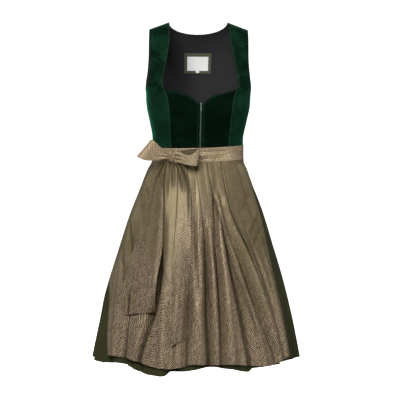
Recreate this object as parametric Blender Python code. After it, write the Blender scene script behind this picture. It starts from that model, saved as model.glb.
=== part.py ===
"""Dirndl dress with a velvet bodice, a pleated skirt and a tied apron, filled out as when worn.

Metres, +Z up. The front faces -Y and +X is the wearer's left. The origin is the middle of the line on which the
shoulder straps rest. Every cloth piece is a closed wall between two grids of points. A grid point is found by its
angle round the body (0 at the front centre, positive towards +X) and its level, the drop below the shoulders.
"""

import math

import bmesh
import bpy
import numpy as np
from mathutils import Matrix

# ---------------------------------------------------------------- driving dimensions

MM = 0.001

VELVET = 1.8 * MM  # cloth walls
COTTON = 1.6 * MM
JACQUARD = 1.5 * MM
LINING = 1.0 * MM
LABEL = 1.0 * MM
SEAM = 0.3 * MM  # gap between two pieces at a seam
LAYER = 0.8 * MM  # gap between two curved layers of cloth
LINING_GAP = 1.8 * MM  # the lining hangs a little clear of the velvet, whose seams have allowances

WAIST_LEVEL = 0.385  # seam of bodice and skirt
HEM_LEVEL = 1.005
UNDERARM_LEVEL = 0.200
NECK_CORNER_X = 0.087  # inner end of the shoulder seam
SHOULDER_SLOPE = 0.37  # drop of the shoulder seam for each metre outwards
BACK_NECK_DROP = 0.037
BACK_SEAM_TOP = 0.150  # where the curved back seam leaves the armhole
ZIP_SLIT = 6.0 * MM  # between the two velvet edges
RIDGE_LEVEL = 1e-6  # just off the shoulder ridge, so that front and back stay apart

# Levels of the rows below the waist, close together where the form flares. Skirt and apron share them.
FLARE_ROWS = (0.430, 0.455, 0.500, 0.560, 0.640, 0.740, 0.860)

BAND_TOP = 0.3690  # apron waistband
BAND_BOTTOM = 0.4135
BAND_LIFT = 1.0 * MM
BAND_LEFT_DEG = -58.0
BAND_RIGHT_DEG = 86.0
APRON_HEM = 0.984
APRON_EASE_TOP = 1.2 * MM  # air between skirt and apron, at the waist and at the hem
APRON_EASE_HEM = 5.0 * MM
SASH_END_DEG = -32.0  # the tie ends under the bow's knot
SASH_STEP_START_DEG = -72.0  # where it starts to climb over the waistband's end
SASH_STEP_DEG = 10.0

FOLDS_AT_WAIST = 0.05  # share of their depth that the skirt's folds have at the waist
FOLDS_SET_IN = 0.10  # part of the way to the hem over which they form

# Columns of grid points across each piece, and rows down the bodice.
COLUMNS = {
    "front": 9,
    "back_side": 8,
    "back_neck": 11,
    "back_strap": 3,
    "skirt_front": 61,
    "skirt_back": 63,
    "apron_panel": 85,
    "apron_waistband": 33,
    "sash_wrap": 57,
    "sash_tail": 11,
    "label": 7,
}
BODY_ROWS = 8
# Rows of a strap as parts of the way down to the underarm: close together at the rounded shoulder and armhole.
STRAP_ROWS = np.array([0, 0.02, 0.08, 0.18, 0.32, 0.50, 0.70, 0.86, 0.95])


def table(columns, *rows):
    """A short table with named columns, each an array."""
    return dict(zip(columns.split(), np.array(rows, float).T))


# Body form under the cloth. "squareness" is the exponent of its horizontal sections: 2 is an ellipse.
FORM = table(
    "level half_width front back squareness",
    (0.000, 0.1760, 0.000, 0.000, 2.6),
    (0.050, 0.1720, 0.064, 0.062, 2.6),
    (0.100, 0.1685, 0.090, 0.085, 2.6),
    (0.150, 0.1660, 0.110, 0.099, 2.6),
    (0.175, 0.1634, 0.119, 0.103, 2.6),
    (0.200, 0.1555, 0.1255, 0.104, 2.6),
    (0.245, 0.1525, 0.1285, 0.102, 2.6),
    (0.290, 0.1440, 0.1190, 0.098, 2.5),
    (0.340, 0.1345, 0.1050, 0.096, 2.4),
    (0.385, 0.1325, 0.1000, 0.098, 2.4),
    (0.413, 0.1340, 0.1015, 0.101, 2.4),
    (0.440, 0.1470, 0.1120, 0.114, 2.3),
    (0.500, 0.1700, 0.1340, 0.139, 2.1),
    (0.580, 0.2010, 0.1600, 0.166, 2.0),
    (0.660, 0.2260, 0.1830, 0.188, 2.0),
    (0.760, 0.2570, 0.2080, 0.210, 2.0),
    (0.880, 0.2880, 0.2350, 0.234, 2.0),
    (1.020, 0.3175, 0.2620, 0.257, 2.0),
)

# Angle of the armhole edge, from the front centre on the front pieces and from the back centre on the back pieces.
ARMHOLE = table(
    "level front_deg back_deg",
    (0.000, 52.0, 52.0),
    (0.050, 53.5, 54.0),
    (0.100, 55.0, 56.0),
    (0.150, 58.5, 60.0),
    (0.175, 64.5, 66.0),
    (0.190, 73.0, 75.0),
    (0.200, 90.0, 90.0),
)

# Inner edge of the side front: the strap's neck edge down to the sweetheart corner, then the princess seam.
FRONT_EDGE = table(
    "level x",
    (0.000, 0.0870),
    (0.045, 0.0885),
    (0.080, 0.0935),
    (0.120, 0.1010),
    (0.155, 0.1085),
    (0.175, 0.1110),
    (0.187, 0.1095),
    (0.196, 0.1045),
    (0.224, 0.0950),
    (0.282, 0.0885),
    (0.385, 0.0820),
)
SWEETHEART_CORNER_LEVEL = 0.196

SWEETHEART = table(
    "x level",
    (0.000, 0.2345),
    (0.010, 0.2320),
    (0.022, 0.2225),
    (0.036, 0.2135),
    (0.056, 0.2065),
    (0.084, 0.1995),
    (0.105, 0.1960),
)

# Curved back seam: angle from the back centre.
BACK_SEAM = table(
    "level deg",
    (0.150, 60.0),
    (0.200, 42.0),
    (0.260, 30.0),
    (0.330, 25.0),
    (0.385, 24.0),
)

# Large folds that skirt and apron share: the cloth stands out at "ridge" and lies "depth" further in at "trough".
BROAD_FOLDS = table(
    "ridge_deg trough_deg depth",
    (-180, -120, 0.004),
    (-90, -72, 0.004),
    (-58, -44, 0.006),
    (-23, 4, 0.026),
    (17, 23, 0.006),
    (40, 62, 0.006),
    (90, 120, 0.004),
    (180, 240, 0.004),
)

# Folds of the skirt alone. A trough close behind its ridge makes a sharp fold edge.
SKIRT_FOLDS = table(
    "ridge_deg trough_deg depth",
    (-180, -171, 0.022),
    (-163, -156, 0.018),
    (-147, -138, 0.024),
    (-129, -121, 0.020),
    (-113, -105, 0.022),
    (-96, -90, 0.017),
    (-80, -73, 0.020),
    (-66, -58, 0.014),
    (-50, -40, 0.010),
    (-22, -17.5, 0.018),
    (-9, -1, 0.008),
    (9, 14, 0.008),
    (27, 30.5, 0.014),
    (45, 54, 0.012),
    (66, 74, 0.018),
    (83, 90, 0.018),
    (99, 107, 0.022),
    (115, 124, 0.020),
    (132, 140, 0.024),
    (149, 157, 0.018),
    (165, 173, 0.020),
    (180, 189, 0.022),
)

# Hems: how much lower than its level each hangs, by angle.
HEM_DROP = table(
    "angle_deg skirt apron",
    (-180, 0.000, 0.000),
    (-76, 0.002, -0.006),
    (-49, -0.010, -0.008),
    (-36, 0.008, 0.002),
    (-26, 0.016, 0.015),
    (-20.5, 0.016, 0.018),
    (-17.5, 0.001, 0.017),
    (-12, 0.001, 0.012),
    (-5, -0.003, 0.002),
    (5, -0.013, 0.003),
    (15, -0.005, 0.004),
    (27, 0.006, 0.011),
    (30, -0.003, 0.013),
    (38, -0.004, 0.018),
    (48, -0.005, 0.012),
    (60, -0.010, 0.000),
    (75, -0.006, 0.000),
    (100, 0.000, 0.000),
    (180, 0.000, 0.000),
)

# Knife pleats of the apron: the place of each pleat's edge and its height, at the four PLEAT_LEVELS. At its edge
# the cloth jumps out by the height, and it falls back before the next edge.
APRON_PLEATS = table(
    "deg_1 deg_2 deg_3 deg_4 height_1 height_2 height_3 height_4",
    (-80, -79, -76, -61, 0.0010, 0.0020, 0.003, 0.006),
    (-60, -56, -52, -44, 0.0010, 0.0015, 0.002, 0.005),
    (-40, -36, -33, -27, 0.0010, 0.0015, 0.002, 0.005),
    (-22, -20, -19, -16, 0.0010, 0.0015, 0.002, 0.004),
    (-12, -6, -3, -6, 0.0015, 0.0030, 0.004, 0.006),
    (-2.5, 2.0, 5.3, 7, 0.0020, 0.0050, 0.007, 0.009),
    (3.5, 9.5, 13, 13, 0.0005, 0.0030, 0.007, 0.008),
    (7.3, 16.8, 24, 38, 0.0030, 0.0100, 0.012, 0.009),
    (15, 22.5, 31, 46, 0.0005, 0.0020, 0.004, 0.007),
    (23.8, 28.5, 40.5, 56, 0.0030, 0.0060, 0.008, 0.004),
    (48, 50, 54, 60, 0.0010, 0.0020, 0.002, 0.001),
)
PLEAT_LEVELS = np.array([0.4135, 0.560, 0.700, 0.984])
PLEAT_RISE_DEG = 1.6  # over which the edge jumps out
LAST_PLEAT_DEG = 22.0  # width of the last pleat

APRON_EDGES = table(
    "level left_deg right_deg",
    (0.413, -88.5, 84.0),
    (0.480, -87.5, 71.5),
    (0.600, -86.0, 64.8),
    (0.750, -85.0, 60.0),
    (0.820, -73.0, 60.0),
    (0.984, -59.0, 60.0),
)

# Bow on the wearer's right, at the viewer's left of the front.
KNOT_DEG = -31.0
KNOT_LEVEL = 0.397
KNOT_SIZE = (0.026, 0.020, 0.038)  # along the waist, outwards, upright
KNOT_SQUARENESS = 3.0
KNOT_PINCH = 0.14  # share of its width that the knot loses at its middle
LOOP_GRID = (17, 5)  # points along a bow loop and across it
LOOP_APART = 2.4 * MM  # half the distance between a loop's two layers at the knot
LOOP_SPREAD = 0.9  # how soon a loop reaches the height of its tip
BOW_LOOPS = table(
    "side turn_deg top_length bottom_length tip_top tip_bottom knot_top knot_bottom bulge",
    (-1, 20, 0.050, 0.092, 0.050, 0.000, 0.011, -0.009, 0.013),
    (1, 6, 0.074, 0.064, 0.027, -0.024, 0.013, -0.010, 0.013),
)
LOOP_NAMES = ("bow_loop_right", "bow_loop_left")

# Sash tails: their edges across the front, by level.
TAIL_RIGHT = table(
    "level left_x right_x",
    (0.417, -0.0950, -0.0865),
    (0.465, -0.1240, -0.0990),
    (0.524, -0.1470, -0.1055),
    (0.600, -0.1660, -0.1075),
    (0.650, -0.1810, -0.1090),
    (0.742, -0.2060, -0.1250),
    (0.849, -0.2210, -0.1410),
)
TAIL_LEFT = table(
    "level left_x right_x",
    (0.417, -0.0845, -0.0760),
    (0.465, -0.0970, -0.0500),
    (0.500, -0.1010, -0.0330),
    (0.561, -0.1040, -0.0270),
    (0.640, -0.1060, -0.0260),
    (0.802, -0.1060, -0.0270),
    (0.9225, -0.0950, -0.0360),
)
TAIL_END_SLANT = {"sash_tail_right": 0.018, "sash_tail_left": 0.033}  # left corner's drop below the right
TAIL_GAP = 1.6 * MM  # between the apron's pleats and a tail
TAIL_ROWS = 11
TAIL_FOLDS_SET_IN = 0.25  # part of the tail's length over which its folds form
# Soft folds along the tails: place and width as shares of the tail's width.
TAIL_FOLDS = {
    "sash_tail_right": table("place width height", (0.30, 0.20, 0.0025), (0.75, 0.15, 0.0015)),
    "sash_tail_left": table("place width height", (0.20, 0.20, 0.0035), (0.95, 0.10, 0.0030)),
}

# Label group on the back lining: half width and levels.
LABEL_X = 0.004
BACKING = {"half_width": 0.0410, "top": 0.0920, "bottom": 0.1540}
WOVEN_LABEL = {"half_width": 0.0320, "top": 0.1020, "bottom": 0.1455}
SIZE_TAB = {"half_width": 0.0050, "top": 0.1458, "bottom": 0.1520}

# Zip.
TAPE_WIDTH = 24 * MM
CHAIN_WIDTH = 4.4 * MM
CHAIN_THICKNESS = 1.6 * MM
ZIP_TOP_LEVEL = 0.2335
ZIP_BOTTOM_LEVEL = 0.383
ZIP_ROWS = 13
SLIDER = {"width": 5.4 * MM, "length": 9.0 * MM, "back": -0.6 * MM, "front": 2.8 * MM}
BAIL = {"width": 1.4 * MM, "bar": 1.2 * MM, "window_depth": 2.2 * MM, "window_height": 3.8 * MM}
PULL = {"width": 5.0 * MM, "length": 20.0 * MM, "thickness": 1.2 * MM}
PULL_HOLE = {"width": 2.4 * MM, "length": 5.0 * MM}

COLOURS = {
    # name: (red, green, blue, roughness, metallic)
    "velvet": (0.006, 0.035, 0.020, 0.85, 0.0),
    "lining": (0.030, 0.028, 0.031, 0.80, 0.0),
    "skirt_cotton": (0.030, 0.034, 0.014, 0.85, 0.0),
    "apron_jacquard": (0.165, 0.125, 0.070, 0.60, 0.0),
    "label_backing": (0.055, 0.058, 0.028, 0.80, 0.0),
    "label": (0.620, 0.620, 0.590, 0.70, 0.0),
    "zip_tape": (0.010, 0.030, 0.018, 0.75, 0.0),
    "zip_metal": (0.300, 0.330, 0.270, 0.35, 0.9),
}

# ---------------------------------------------------------------- numbers and surfaces


def smooth(at, knots, values):
    """Monotone cubic through the points (knots, values), level beyond both ends."""
    step = np.diff(knots)
    rise = np.diff(values) / step
    slope = np.zeros(len(values))
    slope[0], slope[-1] = rise[0], rise[-1]
    for i in range(1, len(values) - 1):
        if rise[i - 1] * rise[i] > 0:
            slope[i] = 2 * rise[i - 1] * rise[i] / (rise[i - 1] + rise[i])
    at = np.clip(at, knots[0], knots[-1])
    i = np.clip(np.searchsorted(knots, at, "right") - 1, 0, len(step) - 1)
    t = (at - knots[i]) / step[i]
    start = values[i] * (1 + 2 * t) + slope[i] * step[i] * t
    end = values[i + 1] * (3 - 2 * t) - slope[i + 1] * step[i] * (1 - t)
    return start * (1 - t) ** 2 + end * t**2


def column(source, name, at, by="level"):
    return smooth(at, source[by], source[name])


def ease(t):
    """0 to 1 with flat ends."""
    t = np.clip(t, 0, 1)
    return t * t * (3 - 2 * t)


def signed_power(base, exponent):
    return np.sign(base) * np.abs(base) ** exponent


def form_depth(side, level):
    """Depth of the body form at the front or back. Its square is what varies smoothly, which rounds the shoulder."""
    return np.sqrt(np.maximum(smooth(level, FORM["level"], FORM[side] ** 2), 0))


def form_point(angle, level):
    power = 2 / column(FORM, "squareness", level)
    depth = np.where(np.cos(angle) > 0, form_depth("front", level), form_depth("back", level))
    x = column(FORM, "half_width", level) * signed_power(np.sin(angle), power)
    y = -depth * signed_power(np.cos(angle), power)
    fade = np.clip(1 - level / UNDERARM_LEVEL, 0, 1) ** 2
    z = -level - SHOULDER_SLOPE * fade * np.maximum(np.abs(x) - NECK_CORNER_X, 0)
    return np.stack([x, y, z], axis=-1)


def form_normal(angle, level):
    turn, drop = 1e-3, 1e-4
    round_body = form_point(angle + turn, level) - form_point(angle - turn, level)
    down = form_point(angle, level + drop) - form_point(angle, level)
    across = np.cross(down, round_body)
    return across / np.linalg.norm(across, axis=-1, keepdims=True)


def cloth_point(angle, level, lift):
    """The point of the form at this angle and level, lifted off it."""
    angle, level, lift = np.broadcast_arrays(angle, level, lift)
    return form_point(angle, level) + form_normal(angle, level) * lift[..., None]


def angle_at(x, level):
    """Angle of the form's front at this x."""
    ratio = np.clip(x / column(FORM, "half_width", level), -1, 1)
    return np.arcsin(signed_power(ratio, column(FORM, "squareness", level) / 2))


def below_waist(level):
    """0 at the waist, 1 at the hem."""
    return np.clip((level - BAND_BOTTOM) / (HEM_LEVEL - BAND_BOTTOM), 0, 1)


def fold_depth(folds, angle):
    """How far in the cloth lies at this angle: 0 on each ridge and the row's depth in the trough behind it."""
    degrees = (np.degrees(angle) + 180) % 360 - 180
    knots = np.stack([folds["ridge_deg"], folds["trough_deg"]], axis=1).ravel()
    depths = np.stack([0 * folds["depth"], folds["depth"]], axis=1).ravel()
    i = np.clip(np.searchsorted(knots, degrees, "right") - 1, 0, len(knots) - 2)
    t = ease((degrees - knots[i]) / (knots[i + 1] - knots[i]))
    return depths[i] * (1 - t) + depths[i + 1] * t


def broad_fold(angle, level):
    return fold_depth(BROAD_FOLDS, angle) * below_waist(level) ** 1.2


def hem_drop(piece, angle, level):
    """The hem's waves, fading upwards."""
    degrees = (np.degrees(angle) + 180) % 360 - 180
    return column(HEM_DROP, piece, degrees, by="angle_deg") * below_waist(level) ** 3


def skirt_lift(angle, level):
    t = below_waist(level)
    share = FOLDS_AT_WAIST + (1 - FOLDS_AT_WAIST) * t
    return -broad_fold(angle, level) - fold_depth(SKIRT_FOLDS, angle) * share * ease(t / FOLDS_SET_IN)


def pleat_height(angle, level):
    """Height of the apron's pleats over the cloth below them."""
    degrees = np.degrees(angle)
    edges, heights = [], []
    for row in range(len(APRON_PLEATS["deg_1"])):
        places = np.array([APRON_PLEATS[f"deg_{i}"][row] for i in (1, 2, 3, 4)])
        rises = np.array([APRON_PLEATS[f"height_{i}"][row] for i in (1, 2, 3, 4)])
        edges.append(smooth(level, PLEAT_LEVELS, places))
        heights.append(smooth(level, PLEAT_LEVELS, rises))
    edges.append(edges[-1] + LAST_PLEAT_DEG)
    height = np.zeros(np.broadcast(angle, level).shape)
    for edge, after, top in zip(edges, edges[1:], heights):
        up = ease((degrees - edge + PLEAT_RISE_DEG) / PLEAT_RISE_DEG)
        fall = 1 - ease((degrees - edge) / (after - PLEAT_RISE_DEG - edge))
        height = height + top * up * fall
    return height


def apron_lift(angle, level):
    ease_in = APRON_EASE_TOP + (APRON_EASE_HEM - APRON_EASE_TOP) * below_waist(level)
    return -broad_fold(angle, level) + COTTON + ease_in + pleat_height(angle, level)


# ---------------------------------------------------------------- meshes


def material(name):
    found = bpy.data.materials.get(name)
    if found:
        return found
    red, green, blue, roughness, metallic = COLOURS[name]
    made = bpy.data.materials.new(name)
    made.use_nodes = True
    surface = made.node_tree.nodes["Principled BSDF"]
    surface.inputs["Base Color"].default_value = (red, green, blue, 1)
    surface.inputs["Roughness"].default_value = roughness
    surface.inputs["Metallic"].default_value = metallic
    return made


def add_object(name, mesh, finish):
    made = bpy.data.objects.new(name, mesh)
    mesh.materials.append(material(finish))
    bpy.context.scene.collection.objects.link(made)
    return made


def wall(name, inner, outer, finish):
    """A closed wall between two grids of points, each (rows, columns, 3), with the outer one on the outside."""
    rows, columns = inner.shape[:2]
    mesh = bmesh.new()
    layers = []
    for grid in (inner, outer):
        layers.append([[mesh.verts.new(grid[r, c]) for c in range(columns)] for r in range(rows)])
    for r in range(rows - 1):
        for c in range(columns - 1):
            for layer in layers:
                mesh.faces.new((layer[r][c], layer[r][c + 1], layer[r + 1][c + 1], layer[r + 1][c]))
    rim = [(0, c) for c in range(columns)]
    rim += [(r, columns - 1) for r in range(1, rows)]
    rim += [(rows - 1, c) for c in range(columns - 2, -1, -1)]
    rim += [(r, 0) for r in range(rows - 2, 0, -1)]
    inside, outside = layers
    for (r, c), (r2, c2) in zip(rim, rim[1:] + rim[:1]):
        mesh.faces.new((inside[r][c], inside[r2][c2], outside[r2][c2], outside[r][c]))
    bmesh.ops.recalc_face_normals(mesh, faces=mesh.faces)
    data = bpy.data.meshes.new(name)
    mesh.to_mesh(data)
    mesh.free()
    data.shade_smooth()
    data.set_sharp_from_angle(angle=math.radians(50))
    return add_object(name, data, finish)


def cloth(name, angle, level, lift, thickness, finish):
    """A wall that follows the body form. Angle, level and lift are grids."""
    return wall(name, cloth_point(angle, level, lift), cloth_point(angle, level, lift + thickness), finish)


def free_cloth(name, middle, thickness, finish):
    """A wall of this thickness round a free-standing grid of points."""
    along = np.gradient(middle, axis=0)
    across = np.gradient(middle, axis=1)
    normal = np.cross(along, across)
    normal /= np.linalg.norm(normal, axis=-1, keepdims=True)
    return wall(name, middle - normal * thickness / 2, middle + normal * thickness / 2, finish)


def box(mesh, low, high):
    """Adds an axis-aligned box to the mesh."""
    size = [b - a for a, b in zip(low, high)]
    centre = [(a + b) / 2 for a, b in zip(low, high)]
    place = Matrix.Translation(centre) @ Matrix.Diagonal((*size, 1))
    bmesh.ops.create_cube(mesh, size=1, matrix=place)


def union_of_boxes(name, boxes, finish):
    """One solid from overlapping boxes, joined by Booleans."""
    solids = []
    for i, (low, high) in enumerate(boxes):
        mesh = bmesh.new()
        box(mesh, low, high)
        data = bpy.data.meshes.new(f"{name}_{i}")
        mesh.to_mesh(data)
        mesh.free()
        solids.append(data)
    body = add_object(name, solids[0], finish)
    for data in solids[1:]:
        helper = bpy.data.objects.new(data.name, data)
        bpy.context.scene.collection.objects.link(helper)
        helper.hide_render = True
        helper.display_type = "WIRE"
        join = body.modifiers.new(data.name, "BOOLEAN")
        join.operation = "UNION"
        join.object = helper
    return body


# ---------------------------------------------------------------- bodice


def front_levels(u):
    """Row levels of a side front, from its inner edge (u = 0) to its outer edge (u = 1)."""
    corner = SWEETHEART_CORNER_LEVEL * (1 - u) + UNDERARM_LEVEL * u
    body = np.linspace(0, 1, BODY_ROWS + 1)[:, None]
    levels = np.concatenate([STRAP_ROWS[:, None] * corner, corner + (WAIST_LEVEL - corner) * body])
    return np.maximum(levels, RIDGE_LEVEL)


def side_gap(level):
    """Half the seam gap at the side, as an angle."""
    return SEAM / 2 / column(FORM, "half_width", level)


def front_side(name, side):
    u = np.linspace(0, 1, COLUMNS["front"])[None, :]
    level = front_levels(u)
    inner = angle_at(column(FRONT_EDGE, "x", level) + SEAM / 2, level)
    outer = np.radians(column(ARMHOLE, "front_deg", level)) - side_gap(level)
    angle = side * (inner + (outer - inner) * u)
    return cloth(name, angle, level, 0 * angle, VELVET, "velvet")


def front_centre(name, side):
    u = np.linspace(0, 1, COLUMNS["front"])[None, :]
    edge_x = column(FRONT_EDGE, "x", SWEETHEART_CORNER_LEVEL)
    top = column(SWEETHEART, "level", ZIP_SLIT / 2 + (edge_x - ZIP_SLIT / 2) * u, by="x")
    level = top + (WAIST_LEVEL - top) * np.linspace(0, 1, BODY_ROWS + 1)[:, None]
    seam_x = column(FRONT_EDGE, "x", level) - SEAM / 2
    x = ZIP_SLIT / 2 + (seam_x - ZIP_SLIT / 2) * u
    angle = side * angle_at(x, level)
    return cloth(name, angle, level, 0 * angle, VELVET, "velvet")


def back_top_level(x):
    """Top edge of the back: the neckline between the shoulder seams, and the shoulder ridge outside them."""
    inside = np.clip(1 - (x / NECK_CORNER_X) ** 2, 0, 1)
    return np.maximum(BACK_NECK_DROP * np.sqrt(inside), RIDGE_LEVEL)


def back_grid(edge_angle):
    """Angles and levels of a back piece, mirrored about the back centre. edge_angle(level) is its side edge."""
    shoulder = column(FORM, "half_width", 0)
    power = column(FORM, "squareness", 0) / 2
    corner = math.asin((NECK_CORNER_X / shoulder) ** power) / edge_angle(0)
    neck = corner * np.sin(np.linspace(-math.pi / 2, math.pi / 2, COLUMNS["back_neck"]))
    strap = np.linspace(corner, 1, COLUMNS["back_strap"] + 1)[1:]
    u = np.concatenate([-strap[::-1], neck, strap])[None, :]
    top_x = shoulder * signed_power(np.sin(u * edge_angle(0)), 1 / power)
    top = back_top_level(top_x)
    upper = BACK_SEAM_TOP * STRAP_ROWS[:-1, None]
    lower = BACK_SEAM_TOP + (WAIST_LEVEL - BACK_SEAM_TOP) * np.linspace(0, 1, BODY_ROWS + 1)[:, None]
    level = top + (WAIST_LEVEL - top) * np.concatenate([upper, lower]) / WAIST_LEVEL
    level = np.maximum(level, RIDGE_LEVEL)
    angle = math.pi - u * edge_angle(level)
    return angle, level


def armhole_back(level):
    return np.radians(column(ARMHOLE, "back_deg", level)) - side_gap(level)


def back_seam(level):
    return np.where(
        level < BACK_SEAM_TOP,
        np.radians(column(ARMHOLE, "back_deg", level)),
        np.radians(column(BACK_SEAM, "deg", level)),
    )


def seam_gap_angle(level):
    """Half the seam gap on the back seam, as an angle."""
    return SEAM / 2 / form_depth("back", np.maximum(level, 0.05))


def back_centre(name):
    angle, level = back_grid(lambda level: back_seam(level) - seam_gap_angle(level))
    return cloth(name, angle, level, 0 * angle, VELVET, "velvet")


def back_side(name, side):
    levels = np.linspace(BACK_SEAM_TOP, UNDERARM_LEVEL, 60)
    seam = back_seam(levels)
    reach = (armhole_back(levels) - seam) / (math.pi / 2 - side_gap(levels) - seam)
    u = np.linspace(0, 1, COLUMNS["back_side"])[None, :]
    top = np.interp(u, np.maximum.accumulate(reach), levels)
    level = top + (WAIST_LEVEL - top) * np.linspace(0, 1, BODY_ROWS + 1)[:, None]
    start = back_seam(level) + seam_gap_angle(level)
    end = math.pi / 2 - side_gap(level)
    angle = math.pi - side * (start + (end - start) * u)
    return cloth(name, angle, level, 0 * angle, VELVET, "velvet")


def lining_back(name):
    inset = math.radians(2.0)
    angle, level = back_grid(lambda level: armhole_back(level) - inset)
    return cloth(name, angle, level, 0 * angle - LINING_GAP - LINING, LINING, "lining")


def lining_patch(name, place, layer, finish):
    """A flat rectangle on the back lining, "layer" pieces further in than the lining."""
    level = np.linspace(place["top"], place["bottom"], 4)[:, None]
    x = LABEL_X + place["half_width"] * np.linspace(-1, 1, COLUMNS["label"])[None, :]
    level, x = np.broadcast_arrays(level, x)
    angle = math.pi - angle_at(x, level)
    lift = -(LINING_GAP + LINING) - layer * (LABEL + LAYER)
    return cloth(name, angle, level, 0 * angle + lift, LABEL, finish)


# ---------------------------------------------------------------- zip


def zip_strip(name, width, top, lift, thickness, columns, finish):
    level = np.linspace(top, ZIP_BOTTOM_LEVEL, ZIP_ROWS)[:, None]
    x = width / 2 * np.linspace(-1, 1, columns)[None, :]
    level, x = np.broadcast_arrays(level, x)
    angle = angle_at(x, level)
    return cloth(name, angle, level, 0 * angle + lift, thickness, finish)


def slider_place():
    """Front face Y of the slider, and the pull's axis (y, z)."""
    middle = ZIP_TOP_LEVEL + SLIDER["length"] / 2
    face = -form_depth("front", middle) - SLIDER["front"]
    axis_y = face - BAIL["window_depth"] / 2
    return face, axis_y, -middle


def zip_slider(name):
    face, _, middle = slider_place()
    half_length, half_width = SLIDER["length"] / 2, SLIDER["width"] / 2
    thick = SLIDER["front"] - SLIDER["back"]
    half_bail, bar = BAIL["width"] / 2, BAIL["bar"]
    window, depth = BAIL["window_height"] / 2, BAIL["window_depth"]
    sunk = 0.5 * MM
    body = ((-half_width, face, middle - half_length), (half_width, face + thick, middle + half_length))
    tip = face - depth - bar
    upper = ((-half_bail, tip, middle + window), (half_bail, face + sunk, middle + window + bar))
    lower = ((-half_bail, tip, middle - window - bar), (half_bail, face + sunk, middle - window))
    arch = (
        (-half_bail, tip, middle - window - bar / 2),
        (half_bail, face - depth, middle + window + bar / 2),
    )
    return union_of_boxes(name, (body, upper, lower, arch), "zip_metal")


def zip_pull(name):
    """Tab with a hole: its top bar passes under the slider's bail. The object's origin is on the hinge axis."""
    _, axis_y, axis_z = slider_place()
    half = PULL["thickness"] / 2
    half_width, hole = PULL["width"] / 2, PULL_HOLE["width"] / 2
    hole_end = -half - PULL_HOLE["length"]
    top_bar = ((-half_width, -half, -half), (half_width, half, half))
    rails = [
        ((min(side * hole, side * half_width), -half, hole_end - half),
         (max(side * hole, side * half_width), half, half / 2))
        for side in (-1, 1)
    ]
    plate = ((-half_width, -half, -PULL["length"]), (half_width, half, hole_end))
    pull = union_of_boxes(name, (top_bar, *rails, plate), "zip_metal")
    place = (0, axis_y, axis_z)
    pull.location = place
    for modifier in pull.modifiers:
        modifier.object.location = place
    return pull


# ---------------------------------------------------------------- skirt and apron


def skirt_half(name, centre_deg):
    """Half of the skirt round the front (centre 0) or the back (centre 180), from side seam to side seam."""
    level = np.array([WAIST_LEVEL + SEAM, BAND_BOTTOM, *FLARE_ROWS, HEM_LEVEL])[:, None]
    u = np.linspace(-1, 1, COLUMNS[name])[None, :]
    angle = math.radians(centre_deg) + u * (math.pi / 2 - side_gap(level))
    level = level + hem_drop("skirt", angle, level)
    lift = skirt_lift(angle, level)
    return cloth(name, angle, level, lift, COTTON, "skirt_cotton")


def apron_panel(name):
    level = np.array([BAND_BOTTOM + SEAM, *FLARE_ROWS, APRON_HEM])[:, None]
    u = np.linspace(0, 1, COLUMNS[name])[None, :]
    left = np.radians(column(APRON_EDGES, "left_deg", level))
    right = np.radians(column(APRON_EDGES, "right_deg", level))
    angle = left + (right - left) * u
    level = level + hem_drop("apron", angle, level)
    return cloth(name, angle, level, apron_lift(angle, level), JACQUARD, "apron_jacquard")


def band(name, start_deg, end_deg, lift_of):
    """A stretch of the waistband or its tie."""
    level = np.linspace(BAND_TOP, BAND_BOTTOM, 3)[:, None]
    angle = np.radians(np.linspace(start_deg, end_deg, COLUMNS[name]))[None, :]
    level, angle = np.broadcast_arrays(level, angle)
    return cloth(name, angle, level, lift_of(np.degrees(angle)), JACQUARD, "apron_jacquard")


def waistband_lift(degrees):
    return VELVET + BAND_LIFT + 0 * degrees


def sash_lift(degrees):
    """The tie lies like the waistband, and steps out just before it runs over the waistband's end."""
    over = ease((degrees - 360 - SASH_STEP_START_DEG) / SASH_STEP_DEG)
    return VELVET + BAND_LIFT + (JACQUARD + LAYER) * over


def outward(angle):
    """Unit vector square to the form in plan, and the one along the waist, at this angle of the knot."""
    normal = form_normal(np.array(angle), np.array(KNOT_LEVEL))
    normal[2] = 0
    normal /= np.linalg.norm(normal)
    along = np.array([-normal[1], normal[0], 0])
    return normal, along


def knot_centre():
    angle = math.radians(KNOT_DEG)
    stack = VELVET + BAND_LIFT + 2 * JACQUARD + LAYER
    foot = cloth_point(np.array(angle), np.array(KNOT_LEVEL), np.array(stack + 2 * SEAM))
    normal, _ = outward(angle)
    return foot + normal * KNOT_SIZE[1] / 2


def bow_knot(name):
    """Rounded block, pinched at its middle."""
    normal, along = outward(math.radians(KNOT_DEG))
    up = np.array([0, 0, 1.0])
    mesh = bmesh.new()
    bmesh.ops.create_uvsphere(mesh, u_segments=16, v_segments=10, radius=1)
    for vertex in mesh.verts:
        point = np.array(vertex.co)
        point = point / (np.abs(point) ** KNOT_SQUARENESS).sum() ** (1 / KNOT_SQUARENESS)
        pinch = 1 - KNOT_PINCH * (1 - point[2] ** 2)
        wide, deep, high = point * np.array(KNOT_SIZE) / 2
        vertex.co = knot_centre() - along * wide * pinch + normal * deep + up * high
    mesh.normal_update()
    bmesh.ops.recalc_face_normals(mesh, faces=mesh.faces)
    data = bpy.data.meshes.new(name)
    mesh.to_mesh(data)
    mesh.free()
    data.shade_smooth()
    return add_object(name, data, "apron_jacquard")


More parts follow.
